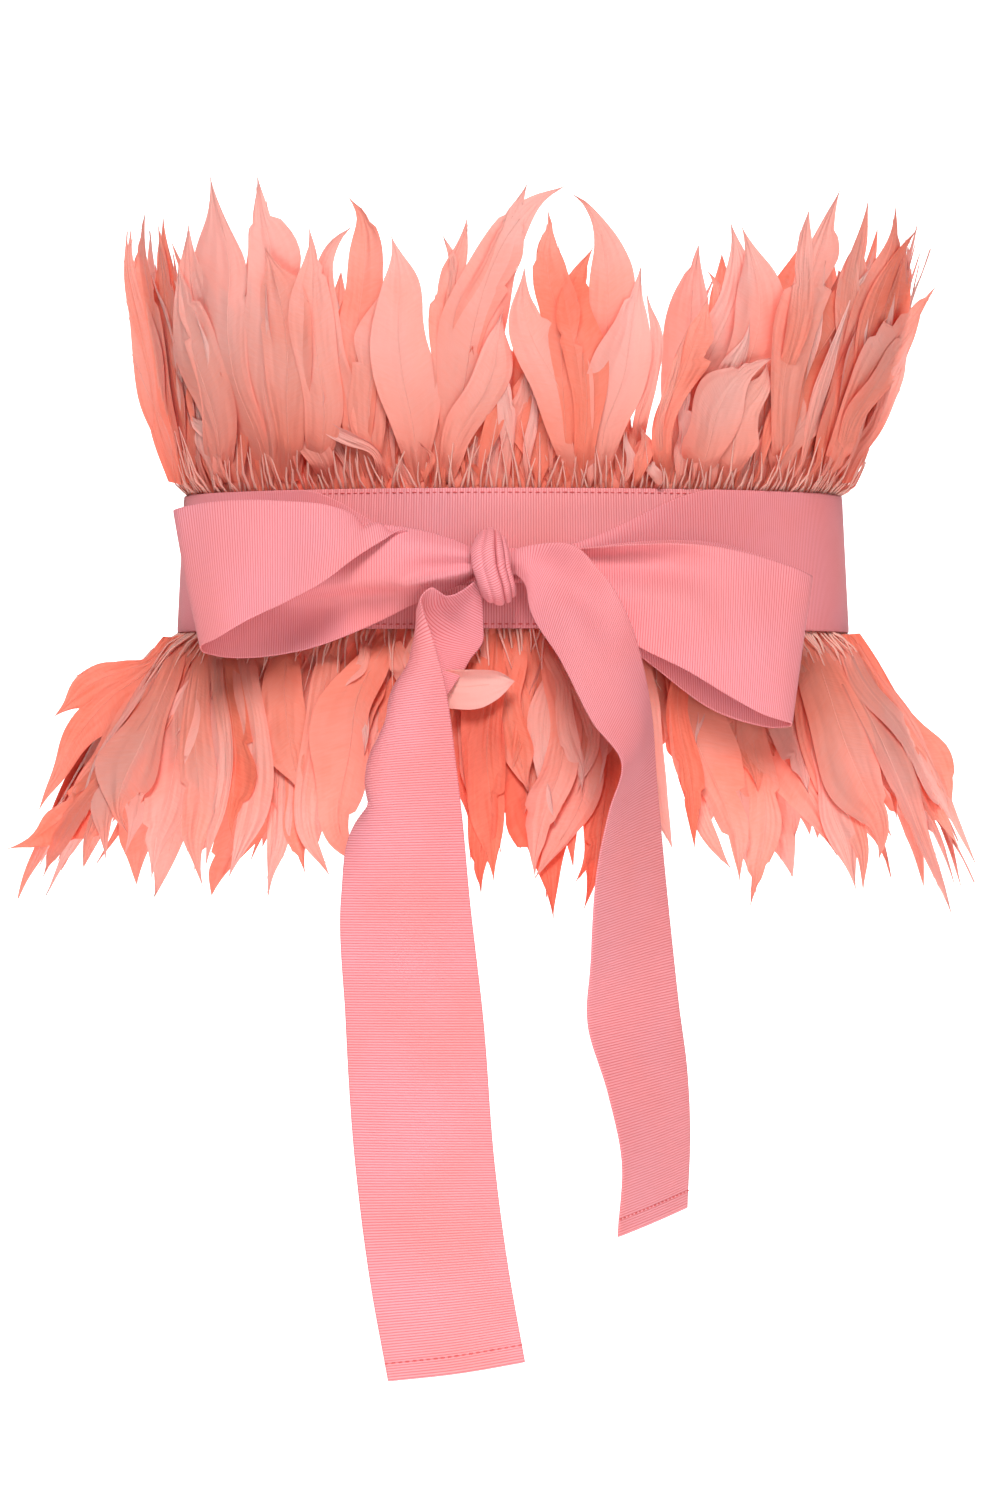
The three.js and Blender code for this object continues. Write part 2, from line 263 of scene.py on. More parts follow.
class Shade:
    # a material, its main shader and what feeds it
    def __init__(self, name, **fixed):
        self.material = bpy.data.materials.new(name)
        self.material.use_nodes = True
        self.tree = self.material.node_tree
        self.tree.nodes.clear()
        self.out = self.tree.nodes.new("ShaderNodeOutputMaterial")
        self.surface = self.tree.nodes.new("ShaderNodeBsdfPrincipled")
        self.tree.links.new(self.surface.outputs[0], self.out.inputs["Surface"])
        for key, value in fixed.items():
            self.surface.inputs[key.replace("_", " ")].default_value = value

    def node(self, kind, settings=None, inputs=None, output=0):
        made = self.tree.nodes.new(kind)
        for key, value in (settings or {}).items():
            if key == "stops":
                self.setStops(made.color_ramp, value)
            else:
                setattr(made, key, value)
        for key, value in (inputs or {}).items():
            self.feed(made.inputs[key], value)
        return Wire(self, made.outputs[output])

    def setStops(self, ramp, stops):
        while len(ramp.elements) < len(stops):
            ramp.elements.new(0.5)
        for element, (place, colour) in zip(ramp.elements, stops):
            element.position, element.color = place, colour

    def feed(self, socket, value):
        if isinstance(value, Wire):
            self.tree.links.new(value.socket, socket)
        else:
            socket.default_value = value

    def maths(self, operation, *values):
        return self.node("ShaderNodeMath", {"operation": operation}, dict(enumerate(values)))

    def vector(self, *parts):
        return self.node("ShaderNodeCombineXYZ", None, dict(enumerate(parts)))

    def mix(self, factor, a, b):
        return self.node("ShaderNodeMix", {"data_type": "RGBA"}, {0: factor, 6: a, 7: b}, 2)

    def set(self, key, value):
        self.feed(self.surface.inputs[key], value)

    def attribute(self, key):
        return self.node("ShaderNodeAttribute", {"attribute_name": key}, None, 2)

    def uv(self):
        where = self.node("ShaderNodeUVMap", {"uv_map": "UVMap"})
        split = self.node("ShaderNodeSeparateXYZ", None, {0: where})
        return split, Wire(self, split.socket.node.outputs[1])

    def noise(self, scale, detail, where=None):
        place = where or self.node("ShaderNodeTexCoord", None, None, 3)
        return self.node("ShaderNodeTexNoise", None, {"Vector": place, "Scale": scale, "Detail": detail})

    def bump(self, height, strength, distance):
        self.set("Normal", self.node("ShaderNodeBump", None,
                                     {"Height": height, "Strength": strength, "Distance": distance}))


def rgb(red, green, blue):
    # a colour given as it looks on a screen, 0 to 255, made linear
    shown = np.array([red, green, blue]) / 255
    linear = np.where(shown <= 0.04, shown / 12.92, ((shown + 0.055) / 1.055) ** 2.4)
    return (*linear.tolist(), 1.0)


cloth = {
    # deep: a darker red, painted between the ribs as shade and mixed in a little all over
    "tie": {"light": rgb(236, 162, 173), "warm": rgb(241, 148, 147), "deep": rgb(204, 60, 66)},
    "band": {"light": rgb(238, 162, 170), "warm": rgb(242, 154, 152), "deep": rgb(198, 66, 70)},
    "sheen": rgb(255, 214, 220),
    "valleyShade": 0.6,  # painted shade: how much of the deep colour lies between the ribs
    "everywhere": 0.1,  # and how much all over
    "threads": 160,  # fine threads across the width
    "roughness": 0.55,
}


def grosgrain(name, colours):
    shade = Shade(name, Roughness=cloth["roughness"], Sheen_Weight=0.12, Sheen_Roughness=0.5,
                  Sheen_Tint=cloth["sheen"], Specular_IOR_Level=0.45)
    along, across = shade.uv()
    # painted shade: the valleys between the ribs get the deep colour, standing for the shade that gathers
    # there
    valleyShadeMask = 0.5 - 0.5 * shade.maths("COSINE", along * (2 * math.pi))
    base = shade.mix(shade.noise(22, 2) * 1.6 - 0.3, colours["light"], colours["warm"])
    valleyShadeAndTint = valleyShadeMask ** 3 * cloth["valleyShade"] + cloth["everywhere"]
    shade.set("Base Color", shade.mix(valleyShadeAndTint, base, colours["deep"]))
    threads = shade.noise(1, 2, shade.vector(along * 0.6, across * cloth["threads"]))
    shade.set("Roughness", threads * 0.14 + cloth["roughness"])
    shade.bump(threads, 0.25, 0.00012)
    return shade.material


def plainWeave(name, colour, deep):
    shade = Shade(name, Roughness=0.8, Sheen_Weight=0.2)
    weave = shade.noise(1500, 1)
    shade.set("Base Color", shade.mix(weave * 0.5, colour, deep))
    shade.bump(weave, 0.3, 0.0002)
    return shade.material


plume = {
    "pale": rgb(255, 210, 200),
    "peach": rgb(255, 186, 169),
    "coral": rgb(254, 145, 117),
    # dusk: the deepest colour, towards which the highest tones go, among them the tones that paint the shade
    # under the bow
    "dusk": rgb(206, 66, 48),
    "stops": (0.05, 0.32, 0.64, 1.0),  # where those four stand, from the palest feather to the deepest
    "quill": rgb(255, 216, 198),
    # root: a coral painted near the band, standing for the saturated shade among the overlapping roots
    "root": rgb(255, 140, 112),
    "rootShade": 0.85,  # how strongly the roots are tinted with the painted shade colour
    "glow": rgb(255, 152, 128),
    "letsThrough": 0.38,  # how much of the light passes through a vane
}


def featherShade(name):
    shade = Shade(name, Roughness=0.55, Sheen_Weight=0.25, Sheen_Roughness=0.4, Specular_IOR_Level=0.35)
    along, across = shade.uv()
    tone, quill = shade.attribute("tone"), shade.attribute("quill")
    barbs = shade.noise(1, 2, shade.vector(along * 90, across * 2, tone * 40))
    broad = shade.noise(34, 2)
    streaks = (barbs - 0.5) * 0.4 + (broad - 0.5) * 0.9
    reach = (tone + streaks - along * 0.2 + 0.1) * 0.62
    stops = list(zip(plume["stops"], (plume[key] for key in ("pale", "peach", "coral", "dusk"))))
    vane = shade.node("ShaderNodeValToRGB", {"stops": stops}, {0: reach})
    # painted shade: the roots are tinted coral, more strongly towards the band
    rootShade = shade.mix((1 - along) ** 2 * plume["rootShade"], vane, plume["root"])
    shade.set("Base Color", shade.mix(quill, rootShade, plume["quill"]))
    waves = shade.noise(1, 1, shade.vector(along * 3.5, across * 2.2, tone * 57))
    shade.bump(waves + barbs * 0.12, 0.5, 0.003)
    glow = shade.node("ShaderNodeBsdfTranslucent", None, {"Color": plume["glow"]})
    both = shade.node("ShaderNodeMixShader", None, {
        0: plume["letsThrough"], 1: Wire(shade, shade.surface.outputs[0]), 2: glow})
    shade.tree.links.new(both.socket, shade.out.inputs["Surface"])
    return shade.material


def threadShade(name, colour):
    shade = Shade(name, Roughness=0.6, Sheen_Weight=0.2)
    twist = shade.noise(4000, 1)
    shade.set("Base Color", shade.mix(twist * 0.4, colour, rgb(190, 70, 68)))
    return shade.material


def stageShade(name, colour):
    shade = Shade(name, Roughness=0.9, Specular_IOR_Level=0.1, Emission_Color=rgb(255, 255, 255),
                  Emission_Strength=0.75)
    shade.set("Base Color", shade.mix(shade.noise(3, 2) * 0.1, colour, rgb(246, 246, 246)))
    return shade.material


tieCloth = grosgrain("tie ribbon", cloth["tie"])
bandCloth = grosgrain("band ribbon", cloth["band"])
liningCloth = plainWeave("lining", rgb(240, 176, 170), rgb(214, 130, 124))
stiffCloth = plainWeave("stiffener", rgb(242, 232, 222), rgb(214, 200, 188))
tapeCloth = plainWeave("quill tape", rgb(244, 186, 170), rgb(216, 140, 124))
featherLook = featherShade("feathers")
threadLook = threadShade("thread", rgb(214, 84, 84))
print("materials made")

camera = {"place": (-4.9, -2400, -69.5), "lens": 153.2}
stage = {"floor": -330, "back": 1500, "curve": 700, "half": 1000, "front": -700}
lights = [
    {"name": "key", "place": (-250, -2000, 1700), "size": 1000, "power": 58, "aim": (0, 0, -20)},
    {"name": "fill", "place": (900, -2400, -50), "size": 1500, "power": 18, "aim": (0, 0, 0)},
    {"name": "rim", "place": (300, 1300, 1500), "size": 1200, "power": 24, "aim": (0, 0, 20)},
]
air = {"light": 0.05, "seen": 1.0}  # how bright the air is, as light and as a background


def makeCamera():
    data = bpy.data.cameras.new("camera")
    data.lens, data.sensor_width = camera["lens"], 36
    data.clip_start, data.clip_end = 0.1, 30
    made = bpy.data.objects.new("camera", data)
    made.location = np.array(camera["place"]) * mm
    made.rotation_euler = (math.radians(90), 0, 0)
    bpy.context.scene.collection.objects.link(made)
    bpy.context.scene.camera = made


def makeStage():
    # floor and backdrop in one sweep
    turn = np.linspace(0, math.pi / 2, 13)
    corner = stage["back"] - stage["curve"]
    ys = np.concatenate([[stage["front"]], corner + stage["curve"] * np.sin(turn), [stage["back"]]])
    zs = stage["floor"] + np.concatenate([[0], stage["curve"] * (1 - np.cos(turn)), [1500]])
    side = np.array([-stage["half"], stage["half"]])
    points = np.stack([np.tile(side, len(ys)), np.repeat(ys, 2), np.repeat(zs, 2)], -1)
    rows = np.arange(len(ys) - 1) * 2
    quads = np.stack([rows, rows + 1, rows + 3, rows + 2], -1)
    sweep = buildMesh("studio_sweep", points, quads, stageShade("studio paper", rgb(254, 254, 254)))


def makeLights():
    # soft lamps, and a white background that lights the object only a little
    for each in lights:
        data = bpy.data.lights.new(each["name"], "AREA")
        data.energy, data.size = each["power"], each["size"] * mm
        lamp = bpy.data.objects.new(each["name"], data)
        place, aim = np.array(each["place"], float), np.array(each["aim"], float)
        lamp.location = place * mm
        lamp.rotation_euler = Vector(aim - place).to_track_quat("-Z", "Y").to_euler()
        bpy.context.scene.collection.objects.link(lamp)
    world = bpy.data.worlds.new("studio air")
    world.use_nodes = True
    nodes, links = world.node_tree.nodes, world.node_tree.links
    dim = nodes["Background"]
    pale = nodes.new("ShaderNodeBackground")
    seen = nodes.new("ShaderNodeLightPath")
    both = nodes.new("ShaderNodeMixShader")
    for background, strength in ((dim, air["light"]), (pale, air["seen"])):
        background.inputs[0].default_value = (1, 1, 1, 1)
        background.inputs[1].default_value = strength
    links.new(seen.outputs["Is Camera Ray"], both.inputs[0])
    links.new(dim.outputs[0], both.inputs[1])
    links.new(pale.outputs[0], both.inputs[2])
    links.new(both.outputs[0], nodes["World Output"].inputs[0])
    bpy.context.scene.world = world
    bpy.context.scene.view_settings.view_transform = "Standard"


makeCamera()
makeStage()
makeLights()
print("camera, stage and lights made")


def strip(angles, heights, offset):
    # a grid on the ring: rows go round it, columns go up it
    return ringPoint(np.asarray(angles)[:, None], np.asarray(offset), np.asarray(heights)[None, :])


def ringStations(start, end, offset, samples=800):
    # angles a quarter of a rib apart, and how far round each one is
    coarse = np.linspace(start, end, samples)
    lengths = pathLength(ringPoint(coarse, offset, 0.0))
    places = ribPlaces(lengths[-1])
    return np.interp(places, lengths, coarse), places


facingCloth = {
    "columns": [-1, -0.985, -0.95, -0.6, -0.2, 0.2, 0.6, 0.95, 0.985, 1],  # parts of half the height
    "thickness": 0.7,
    "proud": 0.5,
    "swell": 0.35,  # how much further its middle stands out
    "pucker": 0.12,  # depth of the small puckers along the stitches
    "puckerTurns": 1.9,
}


def makeFacing():
    half, end = belt["half"], belt["panelEnd"]
    angles, places = ringStations(-end, end, belt["facingOffset"])
    heights = half * np.array(facingCloth["columns"])
    sewn = smoothStep(0.86, 0.97, np.abs(heights) / half)
    pucker = facingCloth["pucker"] * np.sin(places * facingCloth["puckerTurns"])[:, None] * sewn
    swell = facingCloth["swell"] * (1 - (heights / half) ** 2)
    grid = strip(angles, heights, belt["facingOffset"] + facingCloth["proud"] + swell + pucker)
    facing = ribbedPiece("band_front", grid, places, bandCloth, facingCloth["thickness"])
    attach(facing, "belt")
    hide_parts("band_facing")
    2 * half * mm


liningSheet = {"rows": 241, "columns": 13, "offset": 0.45, "thickness": 0.6, "ripple": 0.12, "ripples": 31}


def makeLining():
    half, end = belt["half"], belt["panelEnd"]
    angles = np.linspace(-end, end, liningSheet["rows"])
    heights = half * np.linspace(-1, 1, liningSheet["columns"])
    wave = np.sin(np.radians(angles) * liningSheet["ripples"])[:, None]
    ripple = liningSheet["ripple"] * wave * np.cos(heights / half * 1.5)[None, :]
    grid = strip(angles, heights, liningSheet["offset"] + ripple)
    places = pathLength(ringPoint(angles, liningSheet["offset"], 0))
    uv = np.stack(np.broadcast_arrays(places[:, None], heights[None, :]), -1)
    offsets = np.full(grid.shape[:2], liningSheet["thickness"] / 2)
    lining = shellMesh("band_inside", grid, offsets, uv, liningCloth)
    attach(lining, "belt")
    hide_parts("band_lining")
    2 * half * mm


def dressNode(node, material):
    # a node that is shown as it is, in a better material
    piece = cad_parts[node]
    piece.data.materials.clear()
    piece.data.materials.append(material)


binding = {
    "reach": 4,  # degrees of the panel's end that it covers
    "outer": belt["facingOffset"] + 1.35,
    "inner": -0.35,
    "round": 0.3,  # how much its two corners are rounded
    "thickness": 0.5,
    "columns": 20,
    "width": 23,
}


def makeBindings():
    # a folded strip over each end of the panel
    half, end = belt["half"], belt["panelEnd"]
    reach, outer, inner, corner = (binding[key] for key in ("reach", "outer", "inner", "round"))
    fold = [(end - reach, outer), (end - reach / 2, outer), (end + 0.6, outer - corner),
            (end + 1.1, 0.5 * (outer + inner)),
            (end + 0.6, inner + corner), (end - reach / 2, inner), (end - reach, inner)]
    for side, name in ((-1, "left"), (1, "right")):
        rows = [[ringPoint(side * a, o, z * half) for a, o in fold] for z in (-1, -0.5, 0, 0.5, 1)]
        grid, places = ribbonGrid(rows, binding["columns"])
        piece = ribbedPiece(f"{name}_binding", grid, places, bandCloth, binding["thickness"])
        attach(piece, "belt")
        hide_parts(f"{name}_end_binding")
        binding["width"] * mm
        2 * half * mm


makeFacing()
makeLining()
makeBindings()
dressNode("band_stiffener", stiffCloth)
dressNode("top_quill_tape", tapeCloth)
dressNode("bottom_quill_tape", tapeCloth)
print("waistband made")

blade = {
    "rows": 34,
    "columns": 5,  # on each side of the shaft
    "thickness": 0.26,
    "barbSlope": 0.6,  # how steeply the barbs run forward from the shaft
    "shaft": 0.02,  # radius of the shaft, as a part of the vane's width
    "layers": 12,  # how many layers the front feathers take turns in
}
# upper and lower fringe: how far each reaches out, and how that grows with the height, by the sine
# of the angle from the front
fringe = {
    1: {"height": 110, "out": (27, 6, 3), "power": (1.5, 0.75)},
    -1: {"height": 105, "out": (27, -8, 31), "power": (1.35, 0.6)},
}
flank = 0.97  # sine of the angle beyond which a fringe stands out straight


def fringeOut(sign, s, rise):
    # how far the fringe stands out from the band
    front, askew, sides = fringe[sign]["out"]
    power, straighter = fringe[sign]["power"]
    return (front + askew * s + sides * s * s) * rise ** (power - straighter * s * s)


def riseAt(sign, z):
    # height above the band's edge, as a part of the fringe's height
    return np.clip((sign * z - belt["half"]) / fringe[sign]["height"], 0.0, 1.3)


def fringePlace(sign, angle, out, z):
    # a place on the fringe: angle round the belt, height, and how far out of the fringe's surface
    away = belt["quillOffset"] + fringeOut(sign, np.sin(np.radians(angle)), riseAt(sign, z))
    return ringPoint(angle, away + out + belt["spread"] * (z - sign * belt["half"]), z)


def seenPlace(sign, x, z, out):
    # the same place, found from where it is seen from the front, in a plane through the bow
    eye = np.array(camera["place"], float)
    bowDepth = knotLow[1] - eye[1]
    y = np.full_like(x, knotLow[1])
    for _ in range(6):
        nearer = (y - eye[1]) / bowDepth
        realX, realZ = eye[0] + (x - eye[0]) * nearer, eye[2] + (z - eye[2]) * nearer
        rise = riseAt(sign, realZ)
        s = np.clip(realX / (belt["wide"] + 20), -flank, flank)
        for _ in range(3):
            away = belt["quillOffset"] + fringeOut(sign, s, rise) + out - belt["spread"] * sign * belt["half"]
            s = np.clip(realX / (belt["wide"] + away), -flank, flank)
        away = np.maximum(away, np.abs(realX) / flank - belt["wide"])
        y = -(belt["deep"] + away) * np.sqrt(1 - s * s)
    return np.stack([realX, y, realZ], axis=-1)


class Plumage:
    # gathers the feathers of one clump into one mesh
    def __init__(self):
        self.points, self.quads, self.uv = [], [], []
        self.tone, self.quill, self.sharp = [], [], []
        self.count = 0

    def add(self, points, quads, uv, tone, quill=0.0, sharp=None):
        self.points.append(points)
        self.quads.append(orientOut(points, np.asarray(quads)) + self.count)
        self.uv.append(uv)
        self.tone.append(np.full(len(points), tone))
        self.quill.append(np.full(len(points), quill))
        self.sharp.append(np.zeros(len(points), bool) if sharp is None else sharp)
        self.count += len(points)

    def build(self, name):
        join = np.concatenate
        values = {"tone": join(self.tone), "quill": join(self.quill)}
        return buildMesh(name, join(self.points), join(self.quads), featherLook, join(self.uv), values,
                         join(self.sharp))


def vaneEdges(rng, t, width, spec, length):
    # half widths of the two vanes; a ragged one has forward-pointing splits towards its tip
    edges = []
    ragged = spec["ragged"]
    for side in (0, 1):
        ahead = np.clip(t + 0.5 * width * spec["slope"] / length, 0, 1)
        half = 0.5 * np.interp(ahead, t, width)
        wave = 1 + rng.uniform(0.05, 0.2) * np.sin(2 * math.pi * (t * rng.uniform(1.2, 2.2) + rng.uniform()))
        cuts = rng.integers(1, 3 + int(3 * ragged)) if rng.uniform() < 0.25 + ragged else 0
        keep = np.ones_like(t)
        for cut in rng.uniform(0.5 - 0.1 * ragged, 0.95, cuts):
            since = np.clip((t - cut) / rng.uniform(0.05, 0.16), 0, 1)
            split = 1 - rng.uniform(0.15, 0.4 + 0.2 * ragged) * (1 - since)
            keep = np.minimum(keep, np.where(t > cut, split, 1))
        edges.append(half * wave * keep)
    return edges


def addFeather(plumage, rng, spine, width, place, spec):
    # spine holds (round, up) places on the fringe; place turns (round, up, out) into a point
    rows, side = blade["rows"], blade["columns"]
    t = np.linspace(0, 1, rows + 1)
    length = pathLength(spine)[-1]
    tangent = np.gradient(spine, axis=0)
    tangent /= np.maximum(np.linalg.norm(tangent, axis=-1, keepdims=True), 1e-9)
    across = np.stack([tangent[:, 1], -tangent[:, 0]], -1)
    left, right = vaneEdges(rng, t, width, spec, length)
    left, right = left * (1 + spec["uneven"]), right * (1 - spec["uneven"])
    start = 2 * math.pi * spec["phase"]
    sway = np.sin(2 * math.pi * (t * spec["bends"] + spec["phase"])) - np.sin(start)
    sway = spec["sway"] * sway * smoothStep(0, 0.35, t) * smoothStep(1.15, 0.7, t)
    spine = spine + across * sway[:, None]
    v = np.linspace(-1, 1, 2 * side + 1)
    reach = np.where(v[None, :] < 0, left[:, None], right[:, None]) * v[None, :]
    forward = np.abs(reach) * spec["slope"] * smoothStep(1, 0.75, t)[:, None]
    flat = spine[:, None] + across[:, None] * reach[..., None] + tangent[:, None] * forward[..., None]
    stand = smoothStep(0, 0.16, t)[:, None]
    ripple = spec["ripple"] * np.sin(2 * math.pi * (t * spec["ripples"] + spec["phase"]))[:, None]
    lean = np.sin(2 * math.pi * (t * 0.6 + spec["phase"]))[:, None] * spec["twist"] + spec["tilt"]
    cup = spec["cup"] * np.abs(reach) * np.abs(v)[None, :]
    raised = spec["layer"] + spec["curl"] * t[:, None] ** 3
    out = stand * (raised + lean * reach + cup + ripple * np.abs(v) ** 1.5)
    grid = place(flat[..., 0], flat[..., 1], out)
    thin = blade["thickness"] / 2 * (1 - 0.6 * np.abs(v))[None, :] * (1 - 0.5 * t)[:, None]
    thin = np.broadcast_to(thin, grid.shape[:2]).copy()
    thin[:, [0, -1]] = 0
    thin[[0, -1]] = 0
    face = gridNormals(grid)
    addLens(plumage, grid, face * thin[..., None], t, v, spec["tone"])
    addShaft(plumage, spec, grid[:, side], face[:, side], t, width)
    if spec["wisps"]:
        addWisps(plumage, rng, spec, grid)


def addLens(plumage, grid, lift, t, v, tone):
    # front and back of a vane, meeting along its rim
    rows, columns = grid.shape[:2]
    index = np.arange(rows * columns).reshape(rows, columns)
    inner = np.zeros_like(index, bool)
    inner[1:-1, 1:-1] = True
    behind = index.copy()
    behind[inner] = index.size + np.arange(inner.sum())
    points = np.concatenate([(grid + lift).reshape(-1, 3), (grid - lift)[inner]])
    quads = np.concatenate([gridQuads(index), gridQuads(behind)[:, ::-1]])
    uv = np.stack(np.broadcast_arrays(t[:, None], v[None, :]), -1)
    uv = np.concatenate([uv.reshape(-1, 2), uv[inner]])
    rim = np.concatenate([~inner.ravel(), np.zeros(inner.sum(), bool)])
    plumage.add(points, quads, uv, tone, 0.0, rim)


def tube(path, radii, sides=4):
    # a closed tapered tube along a path
    tangent = np.gradient(path, axis=0)
    tangent /= np.maximum(np.linalg.norm(tangent, axis=-1, keepdims=True), 1e-9)
    first = np.cross(tangent, np.array([0.31, 0.94, 0.12]))
    first /= np.linalg.norm(first, axis=-1, keepdims=True)
    second = np.cross(tangent, first)
    turn = np.arange(sides) / sides * 2 * math.pi
    ring = first[:, None] * np.cos(turn)[None, :, None] + second[:, None] * np.sin(turn)[None, :, None]
    points = (path[:, None] + ring * radii[:, None, None]).reshape(-1, 3)
    index = np.arange(len(path) * sides).reshape(len(path), sides)
    onward = np.roll(index, -1, axis=1)
    quads = np.stack([index[:-1], onward[:-1], onward[1:], index[1:]], -1).reshape(-1, 4)
    return points, np.concatenate([quads, [index[0, ::-1], index[-1]]])


def addShaft(plumage, spec, line, normal, t, width):
    # a thin raised shaft down the front of the vane
    keep = slice(0, int(blade["rows"] * 0.88), 2)
    radii = 0.07 + blade["shaft"] * width.max() * 0.5 * (1 - 0.8 * t[keep])
    outward = np.where((normal[keep] @ np.array([0.0, -1.0, 0.0]))[:, None] < 0, -1, 1) * normal[keep]
    points, quads = tube(line[keep] + outward * 0.1, radii)
    uv = np.repeat(np.stack([t[keep], 0 * t[keep]], -1), 4, axis=0)
    plumage.add(points, quads, uv, spec["tone"], 0.2)


def addWisps(plumage, rng, spec, grid):
    # loose barbs along the edges towards the tip
    rows, columns = grid.shape[:2]
    k = np.linspace(0, 1, 6)
    for _ in range(spec["wisps"]):
        i = int(rng.uniform(0.55, 0.93) * rows)
        edge, inside = (columns - 1, columns - 3) if rng.uniform() < 0.5 else (0, 2)
        along = grid[min(i + 3, rows - 1), edge] - grid[i, edge]
        along /= np.linalg.norm(along) + 1e-6
        beside = grid[i, edge] - grid[i, inside]
        beside /= np.linalg.norm(beside) + 1e-6
        way = along + beside * rng.uniform(-0.05, 0.35)
        bend = beside * rng.uniform(-1.2, 0.8)
        path = grid[i, edge] - beside * 0.4 + way * rng.uniform(2.5, 6) * k[:, None] + bend * k[:, None] ** 2
        points, quads = tube(path, 0.22 * (1 - 0.8 * k))
        plumage.add(points, quads, np.full((len(points), 2), 0.8), spec["tone"])


def featherSpec(rng, **given):
    # how one feather lies and bends; what isn't given is left to chance
    spec = {
        "layer": 0.0,
        "curl": rng.uniform(-4, 4),
        "tilt": rng.uniform(-0.16, 0.16),
        "twist": rng.uniform(-0.16, 0.16),
        "ripple": rng.uniform(0.2, 0.9),
        "ripples": rng.uniform(1.2, 2.4),
        "phase": rng.uniform(),
        "slope": blade["barbSlope"],
        "cup": rng.uniform(-0.1, 0.26),
        "tone": rng.uniform(0.15, 0.7),
        "ragged": 0.1,
        "wisps": 0,
        "uneven": rng.uniform(-0.3, 0.3),
        "sway": rng.uniform(0.6, 2.0),
        "bends": rng.uniform(0.8, 1.5),
    }
    spec.update(given)
    return spec


